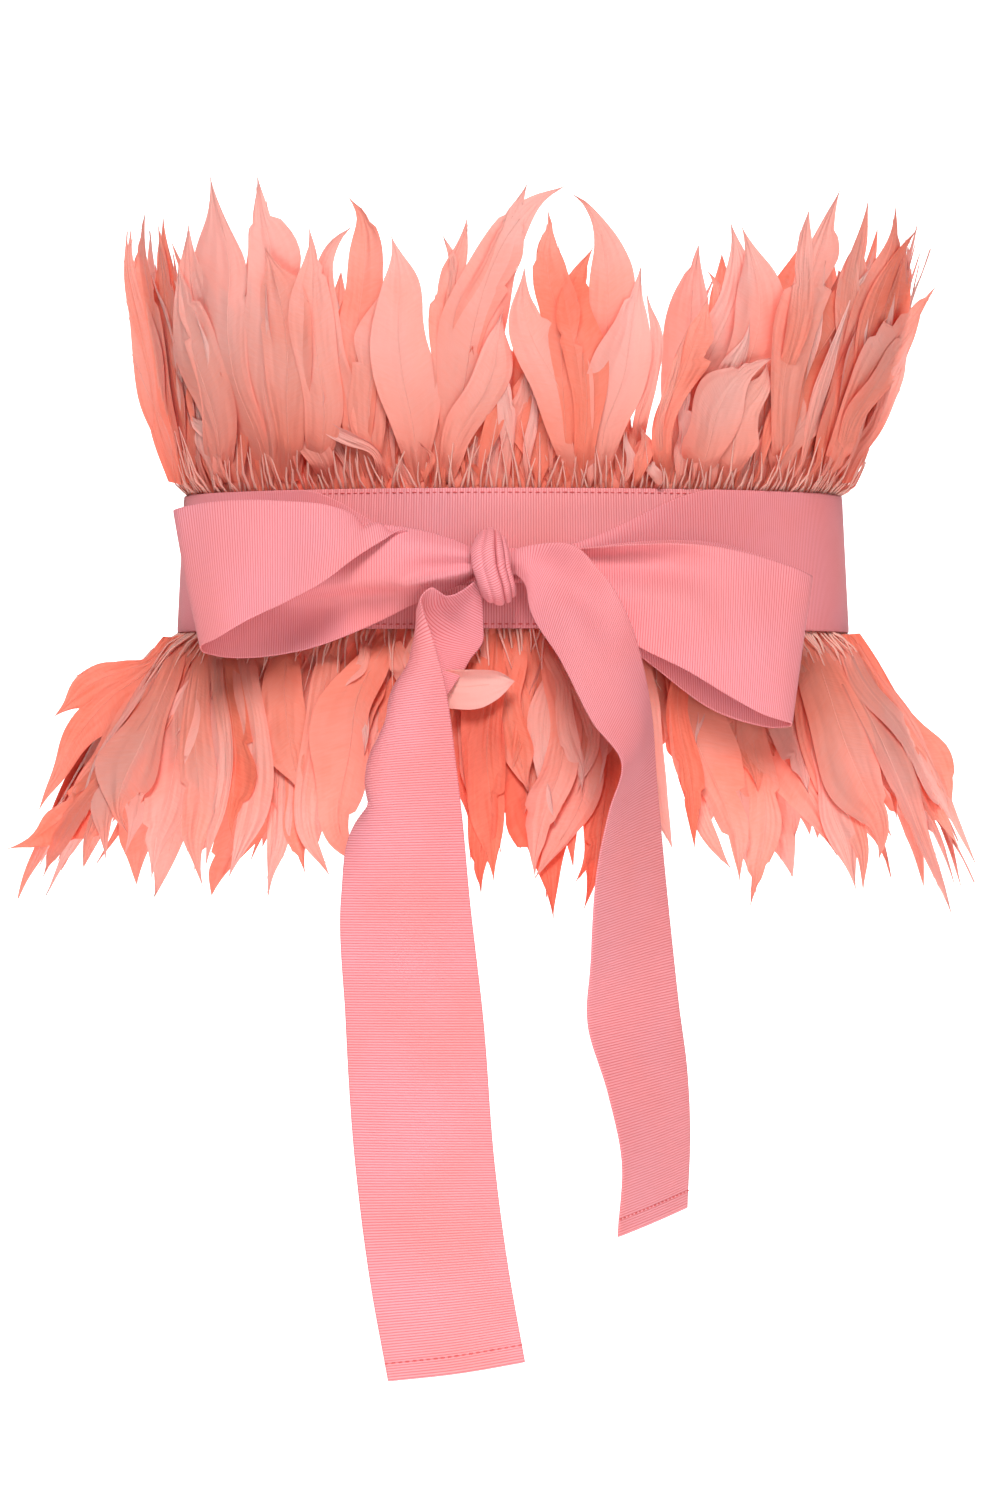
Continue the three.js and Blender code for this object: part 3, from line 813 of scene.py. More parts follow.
# The feathers that stand in front, from the back to the front: tone, how ragged, then the shaft from
# root to tip as (across, up, width), in millimetres as seen from the front.
topFront = [
    # left flank
    (0.95, 0.6, [(-119, 26), (-124, 62, 8), (-127, 92, 8), (-126, 108, 5), (-125.5, 124)]),
    (0.8, 0.3, [(-116, 26), (-120, 62, 8), (-124, 92, 6), (-126.5, 108, 3), (-127.5, 121)]),
    (0.5, 0.2, [(-121, 26), (-132, 60, 6), (-137, 87, 5), (-138.5, 104, 3), (-138.7, 119)]),
    (0.4, 0.1, [(-121, 26), (-128.8, 54.8, 3), (-134, 66, 2.4), (-138, 73.5)]),
    (0.6, 0.4, [(-119, 26), (-125, 62, 9), (-130.3, 91, 8), (-132.6, 106, 5), (-131.5, 125.5)]),
    (0.35, 0.3, [(-119, 25.5), (-128.5, 60, 10), (-134, 84, 8), (-135.7, 100.5, 5.5), (-136.5, 120)]),
    # left
    (0.3, 0.0, [(-106, 26), (-110, 66, 13), (-113.5, 90, 13), (-115.5, 106, 9), (-116.7, 120)]),
    (0.15, 0.9, [(-86, 26), (-86, 66, 15), (-87, 92, 18), (-86.5, 112, 18), (-88.5, 126, 10),
         (-91, 137)]),
    (0.2, 0.0, [(-88, 28), (-96, 62, 16), (-101.5, 88, 20), (-102, 106, 18), (-104, 121, 10),
         (-108, 137.5)]),
    (0.35, 0.1, [(-104, 26), (-107, 46, 12), (-111.5, 64, 15), (-116, 80, 15), (-118.5, 94, 9),
         (-120.3, 105.5)]),
    (0.45, 0.1, [(-81, 26), (-80, 49, 12), (-80.5, 72, 17), (-83.5, 91, 19), (-86, 102, 14), (-89, 111)]),
    (0.3, 0.0, [(-70, 26), (-69, 52, 14), (-70, 80, 16), (-72, 96, 13), (-73, 108, 8), (-73.8, 118.6)]),
    (0.4, 0.1, [(-98, 26), (-103, 44, 11), (-107, 58, 8), (-111, 67, 4), (-114.6, 75.5)]),
    (0.2, 0.0, [(-88, 26), (-89.5, 41, 10), (-91.5, 60, 15), (-94, 79, 14), (-96, 96, 8),
         (-95.3, 110.5)]),
    (0.15, 0.0, [(-79.5, 26), (-78.5, 40, 7), (-80, 55, 8), (-84.5, 69, 7), (-89, 79, 4), (-93, 87)]),
    (0.25, 0.0, [(-103, 26), (-107.5, 36, 7), (-112, 44, 6), (-117, 51.7)]),
    (0.6, 0.4, [(-57, 27), (-56, 55, 13), (-54, 80, 15), (-51.5, 97, 14), (-51.5, 112, 13),
         (-54, 122, 8), (-59.5, 129)]),
    (0.3, 0.0, [(-53, 28), (-60, 55, 13), (-66.5, 75, 13), (-68.5, 92, 9), (-66, 105, 6),
         (-61, 114, 4), (-57, 118)]),
    (0.45, 0.1, [(-50, 27), (-51, 48, 12), (-48.5, 66, 14), (-49, 82, 10), (-46.5, 95, 5), (-45, 101)]),
    (0.15, 0.0, [(-34, 26), (-36, 44, 15), (-38.5, 62, 21), (-40, 80, 22), (-40.5, 96, 15),
         (-42, 107, 8), (-44.2, 115.5)]),
    (0.2, 0.2, [(-66, 26), (-69, 38, 11), (-70.5, 50, 11), (-71, 60, 7), (-73, 70)]),
    (0.05, 0.0, [(-46, 26), (-50, 36.5, 3.2), (-58.5, 41, 4.4), (-66, 46.5, 4.6), (-72, 55, 3.6),
         (-75, 65.5)]),
    # middle
    (0.8, 0.7, [(18, 26), (20, 60, 13), (17.5, 86, 16), (13, 98, 15), (11.5, 110, 10), (13, 118, 4.5),
         (12, 125)]),
    (0.9, 0.0, [(25, 26), (24, 70, 14), (21, 90, 14), (24, 101, 9), (29, 111)]),
    (0.4, 0.3, [(-27, 26), (-27.5, 55, 10), (-26.5, 82, 12), (-23, 99, 11), (-20, 111, 8),
         (-17.4, 122.4)]),
    (0.3, 0.0, [(-24, 80), (-23, 98, 3), (-23.4, 108, 3), (-25.7, 116)]),
    (0.3, 0.6, [(-22, 60), (-13, 92, 14), (-5, 112, 11), (1.5, 124, 7), (5.6, 134.6)]),
    (0.25, 0.1, [(-24, 26), (-19, 58, 17), (-14, 84, 22), (-6.5, 105, 19), (1, 118, 13),
         (9, 127, 6.5), (19.5, 133)]),
    (0.35, 0.0, [(29, 26), (34, 60, 14), (35, 84, 17), (34, 101, 15), (32, 113, 9), (28.5, 122, 5),
         (24.5, 127.5, 3), (20, 130.5)]),
    (0.3, 0.1, [(26, 26), (25.5, 46, 12), (25, 60, 13), (21, 72, 10), (17, 80, 6), (13, 86)]),
    (0.3, 0.0, [(-25, 26), (-20.5, 38.5, 9), (-14, 53, 14), (-8.5, 68, 13), (-5.5, 79, 7), (-3.2, 89)]),
    (0.15, 0.0, [(30, 26), (33, 44, 14), (37.5, 60, 20), (40.5, 75, 20), (43.5, 87, 12),
         (45.3, 96, 5), (46, 105.5)]),
    (0.1, 0.0, [(44, 40), (46.5, 70, 5), (47.6, 84, 3.5), (47.5, 96)]),
    (0.25, 0.0, [(23, 26), (20, 42, 17), (14.5, 56, 22), (9, 69, 19), (5, 82, 15), (2.8, 93, 9),
         (3.1, 105)]),
    # right
    (0.7, 0.2, [(52, 26), (54, 44, 8), (57.5, 60, 9), (63, 74, 11), (68.5, 85, 8), (70.5, 94)]),
    (0.5, 0.0, [(52, 30), (53.5, 50, 3), (57, 66, 3.4), (63.3, 82.5)]),
    (0.8, 0.0, [(68, 60), (74, 90, 5), (73.5, 97, 3), (68.6, 103.3)]),
    (0.2, 0.0, [(56, 26), (59, 42, 10), (65, 60, 15), (73, 78, 17), (79, 94, 13), (80.3, 107, 8),
         (77.7, 121)]),
    (0.35, 0.0, [(73, 26), (77, 46, 15), (83, 64, 20), (87.5, 82, 20), (88, 97, 15), (85.5, 109, 8),
         (81.8, 119.2)]),
    (0.6, 0.3, [(110, 26), (117, 66, 8), (120, 92, 8), (122.5, 108, 5), (127.5, 119.5)]),
    (0.7, 0.4, [(108, 26), (118, 72, 8), (122, 98, 8), (124.8, 114, 5), (127, 130)]),
    (0.8, 0.3, [(110, 26), (124, 72, 9), (131, 97, 9), (135.5, 112, 6), (136.7, 127.2)]),
    (0.9, 0.5, [(112, 26), (126, 66, 9), (134, 88, 10), (138, 100, 8), (141, 111)]),
    (1.0, 0.2, [(112, 26), (124, 66, 8), (130, 88, 9), (134.5, 102, 7), (139, 111, 4), (145, 118.3)]),
    (0.4, 0.3, [(95, 26), (98, 68, 13), (101.5, 88, 15), (106, 102, 15), (110.5, 114, 12),
         (113.8, 123, 6), (117.4, 132)]),
    (0.4, 0.2, [(96, 60), (103, 96, 8), (104.5, 112, 6), (105, 119, 3.5), (106, 125.5)]),
    (0.55, 0.9, [(112, 26), (125, 56, 9), (132, 70, 11), (138.5, 80, 10), (145, 88, 6), (152.6, 98)]),
    (0.6, 0.9, [(114, 30), (128, 58, 8), (136, 72, 8), (143, 80, 5), (148, 90)]),
    (0.3, 0.2, [(118, 26), (125, 42, 6), (132, 55, 6), (138, 67, 6), (141.5, 77)]),
    (0.9, 0.7, [(97, 26), (97.5, 42, 12), (102.5, 56, 18), (109.5, 69, 22), (116, 83, 22),
         (122, 96, 16), (125, 106, 8), (125.5, 113.5)]),
    (0.1, 0.0, [(86, 26), (92, 52, 4), (97.5, 68, 6), (102.5, 79, 8.5), (107, 90, 7), (109.3, 99, 4),
         (110.6, 107)]),
    (0.3, 0.0, [(95, 26), (96.5, 38, 10), (101, 46, 10), (108, 53.5, 8), (115.5, 60, 5), (122, 66.5)]),
    (0.45, 0.0, [(112, 26), (115, 40, 5), (120.5, 54, 5), (125.5, 66, 4.5), (129.5, 77)]),
    (0.15, 0.0, [(66, 30), (73.5, 54, 8), (79, 67, 8), (82.8, 76, 5), (84.5, 85)]),
    (0.3, 0.0, [(76.5, 26), (78.5, 38, 16), (83.5, 49, 16), (88, 60, 9), (91, 71)]),
    (0.2, 0.0, [(67, 26), (68.5, 37, 15), (72, 48, 19), (79, 58.5, 15), (87, 66, 7), (94, 71.5)]),
]
bottomFront = [
    # left flank: its deeper tones are partly the feathers' own colour and partly painted shade at the side
    (0.85, 0.3, [(-123, -29), (-131, -39.5, 5), (-139, -43, 9), (-147, -45, 12), (-155, -49, 11),
         (-161, -54, 5), (-165.4, -58)]),
    (0.8, 0.0, [(-123, -29), (-133, -44, 9), (-142, -51, 12), (-149, -58, 14), (-156, -66, 11),
         (-162, -75, 7), (-167.5, -84, 3.5), (-171, -92.6)]),
    (0.7, 0.3, [(-122, -29), (-134, -49, 9), (-142, -61, 12), (-148.5, -71, 11), (-155, -80, 7),
         (-161, -89)]),
    (0.85, 0.7, [(-121, -29), (-137, -60, 10), (-149, -80, 14), (-157, -89, 16), (-165, -95.5, 15),
         (-172, -101, 8), (-182, -105)]),
    (0.8, 0.5, [(-121, -29), (-150, -85, 6), (-161, -99, 8), (-166.5, -107, 6), (-170, -116)]),
    (0.7, 0.8, [(-121, -29), (-142, -80, 7), (-149, -95, 7), (-152.6, -104, 4), (-154.4, -112.8)]),
    (0.4, 0.8, [(-119, -29), (-141, -80, 8), (-147, -94, 9), (-147.6, -103, 4.5), (-147, -110)]),
    (0.55, 0.5, [(-118, -28), (-123.5, -44, 8), (-129.6, -57, 13), (-135, -68, 18), (-140, -78, 20),
         (-142.7, -87, 15), (-142, -93.5, 7), (-138.3, -99.5)]),
    # left
    (1.0, 0.3, [(-104, -28), (-103, -70, 12), (-102.8, -86, 9), (-102.5, -94, 5), (-101, -101.5)]),
    (0.5, 0.2, [(-112, -28), (-112.5, -70, 12), (-113, -90, 12), (-115, -101, 10),
         (-113.5, -110, 4.5), (-110.7, -120)]),
    (0.3, 0.0, [(-106, -28), (-107, -80, 5), (-109, -97, 5), (-110.7, -113)]),
    (0.25, 0.1, [(-97, -28), (-96, -60, 11), (-96, -84, 10), (-96.6, -95, 9), (-98.7, -105, 6),
         (-102.8, -117)]),
    (0.9, 0.2, [(-80, -28), (-79.5, -60, 10), (-78, -86, 9), (-77.5, -97, 10), (-76, -106, 6),
         (-74.5, -114.5)]),
    (0.25, 0.2, [(-88, -28), (-86.5, -70, 9), (-85.8, -96, 8), (-87.5, -107, 5), (-89, -124)]),
    (0.3, 0.2, [(-82, -28), (-82, -80, 6), (-83, -105, 5.5), (-86.5, -114, 3.5), (-88, -123)]),
    (0.6, 0.1, [(-92, -28), (-90, -50, 11), (-89.5, -67, 11), (-88.5, -78, 8.5), (-86.5, -86, 5),
         (-84.5, -92)]),
    (0.3, 0.0, [(-115, -28), (-119.5, -50, 8), (-122, -67, 11), (-123.5, -79, 14.5),
         (-124.5, -90, 15), (-126.5, -101, 12), (-129.8, -116.5)]),
    (0.1, 0.0, [(-107, -28), (-106, -42, 16), (-105.3, -56, 20), (-105, -68, 21), (-106, -79, 16),
         (-107.4, -89, 7), (-106.2, -97)]),
    (0.75, 0.0, [(-82, -28), (-81, -44, 14), (-79.5, -58, 17), (-78.5, -69, 15), (-77.5, -78, 9),
         (-75, -87.5)]),
    (0.45, 0.1, [(-64, -27), (-69, -50, 10), (-71.5, -70, 11), (-72.3, -88, 8), (-70.8, -101, 6.5),
         (-67.8, -109, 4), (-65, -115.5)]),
    (0.6, 0.2, [(-44, -27), (-50, -40, 13), (-56, -55, 18), (-60, -69, 20), (-62.5, -82, 18),
         (-62.5, -93, 15), (-59.5, -102, 11), (-52.4, -112)]),
    (0.15, 0.0, [(-51, -28), (-56.3, -36.5, 4), (-62.5, -45.5, 5), (-68, -52.5, 3.5), (-72, -57)]),
    # middle, in the shade of the bow: their deep tones paint that shade in
    (1.3, 0.6, [(-12, -27), (-11.5, -60, 14), (-11.2, -85, 15), (-12, -103, 10), (-12.2, -114, 4.5),
         (-11.5, -123)]),
    (1.2, 0.4, [(-6, -27), (-6, -70, 12), (-6.5, -95, 12), (-7.5, -108, 6), (-7, -117.5)]),
    (1.3, 0.5, [(4, -27), (3, -60, 18), (4, -86, 24), (8, -102, 20), (12.3, -117, 9), (14.3, -131)]),
    (1.2, 0.6, [(28, -27), (32, -60, 12), (33, -82, 12), (28.5, -98, 10), (25, -109, 5.5), (21, -117.5)]),
    (1.2, 0.7, [(30, -27), (34, -70, 10), (32, -98, 10), (29, -114, 6), (24.3, -128)]),
    (1.1, 0.5, [(22, -27), (23, -80, 8), (20, -100, 6), (21.3, -113.5)]),
    (0.7, 0.0, [(-18, -27), (-17, -43, 13), (-15.5, -58, 15), (-15, -70, 12), (-15.5, -79, 7),
         (-16, -88)]),
    (0.9, 0.0, [(2, -27), (0.5, -43, 10), (-0.7, -56, 13), (0, -68, 13), (2.5, -77.5, 8), (6, -86)]),
    (0.65, 0.0, [(20, -27), (24, -48, 8), (27, -66, 11), (28.4, -79, 13.5), (25.4, -91, 14),
         (19.5, -100, 11), (13, -108, 7), (7, -116.5)]),
    (0.55, 0.0, [(13, -27), (15, -50, 10), (16.5, -66, 13), (16, -79, 14), (12.5, -89, 12),
         (8.6, -99, 9), (6.4, -108, 5), (6.8, -116.5)]),
    (0.5, 0.0, [(16, -27), (22, -50, 5), (25.5, -64, 5), (25, -76, 3.5), (22.5, -85.5)]),
    (0.4, 0.0, [(11, -27), (14, -42, 5), (17, -55, 7), (20.8, -67, 7), (23.4, -77, 4.5), (23.5, -85)]),
    # right
    (1.2, 0.6, [(60, -28), (62, -70, 9), (63.5, -88, 8), (65.3, -106)]),
    (0.2, 0.1, [(44, -27), (48, -58, 11), (53, -80, 10), (54.5, -94, 6.5), (57, -106.5)]),
    (0.6, 0.7, [(84, -27), (88, -60, 10), (90.6, -86, 12), (90, -99, 13), (88, -111, 9),
         (86.8, -119, 5), (85.3, -126.5)]),
    (0.5, 0.3, [(62, -30), (66, -78, 9), (71.5, -97, 7), (75, -106, 4), (78.7, -113)]),
    (0.6, 0.1, [(80, -27), (84, -45, 14), (91, -66, 18), (98.5, -79, 16), (106, -91.5, 11),
         (111.4, -101, 5), (116, -109)]),
    (0.65, 0.1, [(56, -27), (61, -42, 16), (66, -57, 20), (71.5, -72, 22), (76.5, -87, 18),
         (79.7, -101, 10), (81.2, -117.6)]),
    (0.3, 0.0, [(90, -27), (96, -50, 11), (101.5, -65, 14), (105.5, -76, 12), (106.5, -85)]),
    (0.8, 0.4, [(118, -28), (137, -67, 9), (146, -81, 12), (153, -93, 8), (160, -105)]),
    (0.7, 0.2, [(120, -28), (130, -42, 6), (141, -61, 9), (150, -74, 10), (155, -84, 6), (158, -94)]),
    (0.6, 0.1, [(101, -27), (112, -68, 9), (121.5, -92, 10), (126, -107, 6), (126, -122)]),
    (0.35, 0.2, [(100, -27), (106.5, -58, 8), (110.6, -80, 10), (113, -92, 11), (118.3, -104, 9.5),
         (123, -121)]),
    (0.5, 0.2, [(106, -27), (109.5, -40, 14), (114, -53, 19), (120.5, -67, 22), (127, -80, 20),
         (132.2, -91.5, 14), (132.5, -101.5, 8), (130.6, -109.5)]),
    (0.3, 0.6, [(114, -28), (120, -45, 9), (126, -58, 10), (133.7, -72, 10), (141.4, -86, 8.5),
         (148.3, -102, 6), (153.5, -118, 3), (157.5, -131)]),
    (0.15, 0.5, [(117, -28), (126, -48, 8), (137.6, -63, 8), (146.8, -77, 7), (154.5, -90, 5),
         (159, -98.5)]),
    (0.3, 0.0, [(122, -29), (143, -66, 5), (155, -88, 4), (161, -100, 2.5), (166.8, -113.7)]),
]

# one feather beside the left tail has curled forward: it lies across, its upper edge rolled over
curled = {
    "place": [(-43, -29), (-38, -40, 11), (-30, -46, 15.5), (-19, -46.8, 15.8), (-9, -46, 15),
              (-3.5, -45.4, 12.5), (-0.8, -45, 8), (0.4, -44.8)],
    "angle": -18,  # which clump it grows from
    "tone": -0.1,
    "out": 11,
    "roll": 6,
    "slope": 0.04,
}

# how high the fringe is filled behind those, by angle; the dips are its open gaps
fill = {
    "top": [(-150, 96), (-95, 96), (-80, 90), (-60, 86), (-45, 80), (-33, 74), (-19, 64), (-15.5, 36),
            (-13, 36), (-9, 60), (0, 66), (12, 62), (18, 34), (24.5, 16), (28, 34), (35, 62), (50, 80),
            (80, 92), (95, 96), (150, 96)],
    "bottom": [(-150, 92), (-95, 92), (-75, 70), (-45, 66), (-20, 62), (-5, 74), (12, 70), (24, 54),
               (32, 66), (40, 58), (60, 64), (80, 76), (95, 92), (150, 92)],
    "perClump": 9,
    "skirt": 9,  # short broad ones that close the row at the band
    "slips": 5,  # narrow wavy ones in front of the rest
    "straws": 18,  # bare quills that show in front of it
    "lean": 7,  # how far a tip may stand to either side, in millimetres
    "calm": 70,  # feathers shorter than this lean less
    "backFrom": 92,  # degrees from the front where the fuller back begins
}
clumpEdges = [-150, -127, -105, -82, -60, -37, -14, 5, 24, 43, 62, 84, 106, 128, 150]


def flameWidth(t, widest, peak=0.5, root=0.05):
    # a narrow quill, a full vane and a long point
    swell = smoothStep(0, peak, t) * (1 - np.clip((t - peak) / (1 - peak), 0, 1) ** 1.6)
    return widest * (swell * (1 - root) + root * (1 - t))


def frontSpec(row):
    # a feather given by its shaft and widths as seen from the front
    tone, ragged, stations = row
    line = np.array([s[:2] for s in stations], float)
    widths = np.array([s[2] if len(s) > 2 else 0.0 for s in stations])
    widths[0] = 5.0
    stops = pathLength(line)
    at = np.linspace(0, stops[-1], blade["rows"] + 1)
    spine = spline(stops, line, at)
    width = np.clip(spline(stops, widths, at), 0.15, None) * (1 - np.clip(at / stops[-1], 0, 1) ** 12)
    return spine, width, tone, ragged


def addFront(plumage, rng, sign, row, rank):
    # a given feather, its rank from 0 at the back of the fringe to 1 at the front
    spine, width, tone, ragged = frontSpec(row)
    spec = featherSpec(rng, layer=1.2 + 5.5 * rank, tone=tone, ragged=ragged, curl=0.0,
                       wisps=int(2 + 6 * ragged) if ragged else 0)
    addFeather(plumage, rng, spine, width, lambda x, z, out: seenPlace(sign, x, z, out), spec)


def addFiller(plumage, rng, sign, angle, length, widest, **given):
    # a feather rooted at an angle on the band, its shaft bending a little
    t = np.linspace(0, 1, blade["rows"] + 1)
    lean, bend = rng.uniform(-fill["lean"], fill["lean"]), rng.uniform(-fill["lean"], fill["lean"])
    calm = min(1, length / fill["calm"])
    around = (lean * t ** 1.5 + bend * np.sin(math.pi * t) * t) * calm
    up = belt["half"] - given.pop("sink", 0.7) + length * t
    width = flameWidth(t, widest, rng.uniform(0.42, 0.58), given.pop("root", 0.06))
    a = math.radians(angle)
    girth = math.hypot((belt["wide"] + 12) * math.cos(a), (belt["deep"] + 12) * math.sin(a))

    def place(x, z, out):
        return fringePlace(sign, angle + np.degrees(x / girth), out, sign * z)

    addFeather(plumage, rng, np.stack([around, up], -1), width, place, featherSpec(rng, **given))


def addStraw(plumage, rng, sign, angle):
    # a bare quill, leaning one way or the other
    t = np.linspace(0, 1, 7)
    length = rng.uniform(9, 26)
    z = sign * (belt["half"] - 0.6 + length * t)
    lean = rng.normal(0, 1.4) * t * length / 18 + rng.normal(0, 0.8) * t ** 2
    out = 0.9 + rng.uniform(0.3, 4.2) * smoothStep(0, 0.35, t)
    points = fringePlace(sign, angle + lean, out, z)
    mesh, quads = tube(points, rng.uniform(0.3, 0.6) * (1 - 0.75 * t) + 0.04)
    plumage.add(mesh, quads, np.full((len(mesh), 2), 0.6), rng.uniform(0, 0.3), rng.uniform(0.3, 0.9))


def addCurled(plumage, rng):
    # the upper edge rolls forward over the vane
    spine, width, tone, _ = frontSpec((curled["tone"], 0, curled["place"]))

    def place(x, z, out):
        over = np.clip((z + 43) / 4.5, 0, 1)
        forward = curled["out"] * smoothStep(-40, -24, x) + curled["roll"] * over * (1 - 0.6 * over)
        return seenPlace(-1, x, z - 2.2 * over ** 2, forward + 0.6 * out)

    spec = featherSpec(rng, layer=2.0, tone=tone, ragged=0.0, cup=0.1, tilt=-0.05, twist=0.0, curl=0.0,
                       ripple=0.2, sway=0.0, uneven=0.0, slope=curled["slope"])
    addFeather(plumage, rng, spine, width, place, spec)


def clumpOf(angle):
    # number of the clump that grows at an angle, from 0
    return int(np.clip(np.searchsorted(clumpEdges, angle, side="right") - 1, 0, len(clumpEdges) - 2))


def rootAngle(sign, row):
    # the angle at which a front feather is sewn in
    x, z = row[2][0][:2]
    place = seenPlace(sign, np.array([float(x)]), np.array([float(z)]), np.array([0.0]))[0]
    return math.degrees(math.atan2(place[0] / belt["wide"], -place[1] / belt["deep"]))


def makeFringe(sign, name, front, seed):
    rng = np.random.default_rng(seed)
    clumps = [Plumage() for _ in clumpEdges[1:]]
    angles, heights = np.array(fill[name], float).T
    for plumage, low, high in zip(clumps, clumpEdges[:-1], clumpEdges[1:]):

        def spread(count):
            return [low + (high - low) * (k + rng.uniform(0.15, 0.85)) / count for k in range(count)]

        for angle in spread(fill["perClump"]):
            ceiling = np.interp(angle, angles, heights)
            back = abs(angle) > fill["backFrom"]
            addFiller(plumage, rng, sign, angle, ceiling * rng.uniform(0.72, 1.12 if back else 1.0),
                      rng.uniform(17, 26) * min(1, ceiling / 60), tone=rng.uniform(0.2, 1.0),
                      layer=rng.uniform(-1.6, 3.0 if back else 0.6), ragged=rng.uniform(0, 0.5))
        for angle in spread(fill["skirt"]):
            ceiling = np.interp(angle, angles, heights)
            addFiller(plumage, rng, sign, angle, min(rng.uniform(22, 36), ceiling), rng.uniform(12, 17),
                      root=0.95, sink=3.2, layer=rng.uniform(-1.4, -0.2), tone=rng.uniform(0.2, 0.7),
                      curl=0.0, cup=0.0, tilt=0.0, twist=0.05)
        for angle in spread(fill["slips"]):
            ceiling = np.interp(angle, angles, heights)
            addFiller(plumage, rng, sign, angle, ceiling * rng.uniform(0.45, 1.05), rng.uniform(3, 9),
                      root=0.2, layer=rng.uniform(0.5, 4.5), tone=rng.choice([0.0, 0.2, 0.9]),
                      sway=rng.uniform(1.0, 2.4), bends=rng.uniform(0.5, 0.9), curl=rng.uniform(-2, 3))
        for angle in spread(fill["straws"]):
            addStraw(plumage, rng, sign, angle)
    layers = blade["layers"]
    for order, row in enumerate(front):
        rank = (order % layers + 0.5 * (order / len(front))) / layers
        addFront(clumps[clumpOf(rootAngle(sign, row))], rng, sign, row, rank)
    if sign < 0:
        addCurled(clumps[clumpOf(curled["angle"])], rng)
    for k, plumage in enumerate(clumps, 1):
        piece = plumage.build(f"{name}_plumes_{k:02d}")
        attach(piece, "belt")
        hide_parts(f"{name}_feathers_{k:02d}")


makeFringe(1, "top", topFront, 11)
makeFringe(-1, "bottom", bottomFront, 23)
print("feathers made")

# angles are in degrees round the waist from the knot, sizes in millimetres
tie = {
    "width": 51,
    "thickness": 0.5,
    "front": 1.2,  # where the wrap leaves the knot
    "sewn": 222.0,  # where it is sewn to the other end of the panel
    "knotAngle": -3.5,  # the knot sits a little to one side
    "crossing": 180.0,
    "bunched": (9, 28),  # from the crossing: fully bunched, then spread out
    "crossingEdges": (23.5, 0.2),  # one tie takes the upper half there, the other the lower
    "gathered": (8, 38),  # from the knot, in the same way
    "knotEdges": (3.5, -9),
    "over": 1.5,  # how far one tie rides over the other
    "columns": 14,
    "pleats": 3,
    "crossingPleats": 1.1,  # depth of the pleats
    "knotPleats": 1.6,
}


def tieGrid(side):
    turn, places = ringStations(tie["front"], tie["sewn"], belt["tieOffset"], 900)
    bunch = 1 - smoothStep(*tie["bunched"], np.abs(turn - tie["crossing"]))
    gather = 1 - smoothStep(*tie["gathered"], turn)
    half = belt["half"]
    high, low = tie["crossingEdges"] if side > 0 else (-edge for edge in reversed(tie["crossingEdges"]))
    top = (half * (1 - bunch) + high * bunch) * (1 - gather) + tie["knotEdges"][0] * gather
    bottom = (-half * (1 - bunch) + low * bunch) * (1 - gather) + tie["knotEdges"][1] * gather
    over = tie["over"] * (1 - smoothStep(160, 200, turn)) * smoothStep(112, 130, turn)
    across = acrossPlaces(tie["columns"])
    pleats = 0.5 - 0.5 * np.cos(2 * math.pi * across * tie["pleats"])
    proud = bunch[:, None] * pleats[None, :] * tie["crossingPleats"]
    proud = proud + gather[:, None] * pleats[None, :] * tie["knotPleats"]
    z = bottom[:, None] + (top - bottom)[:, None] * across[None, :]
    angle = side * turn + tie["knotAngle"] * (1 - smoothStep(0, 60, turn))
    return ringPoint(angle[:, None], belt["tieOffset"] + over[:, None] + proud, z), places


def makeTies():
    for side, name in ((-1, "left"), (1, "right")):
        grid, places = tieGrid(side)
        piece = ribbedPiece(f"{name}_wrap", grid, places, tieCloth, tie["thickness"])
        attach(piece, "belt")
        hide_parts(f"{name}_tie")


makeTies()
print("ties made")

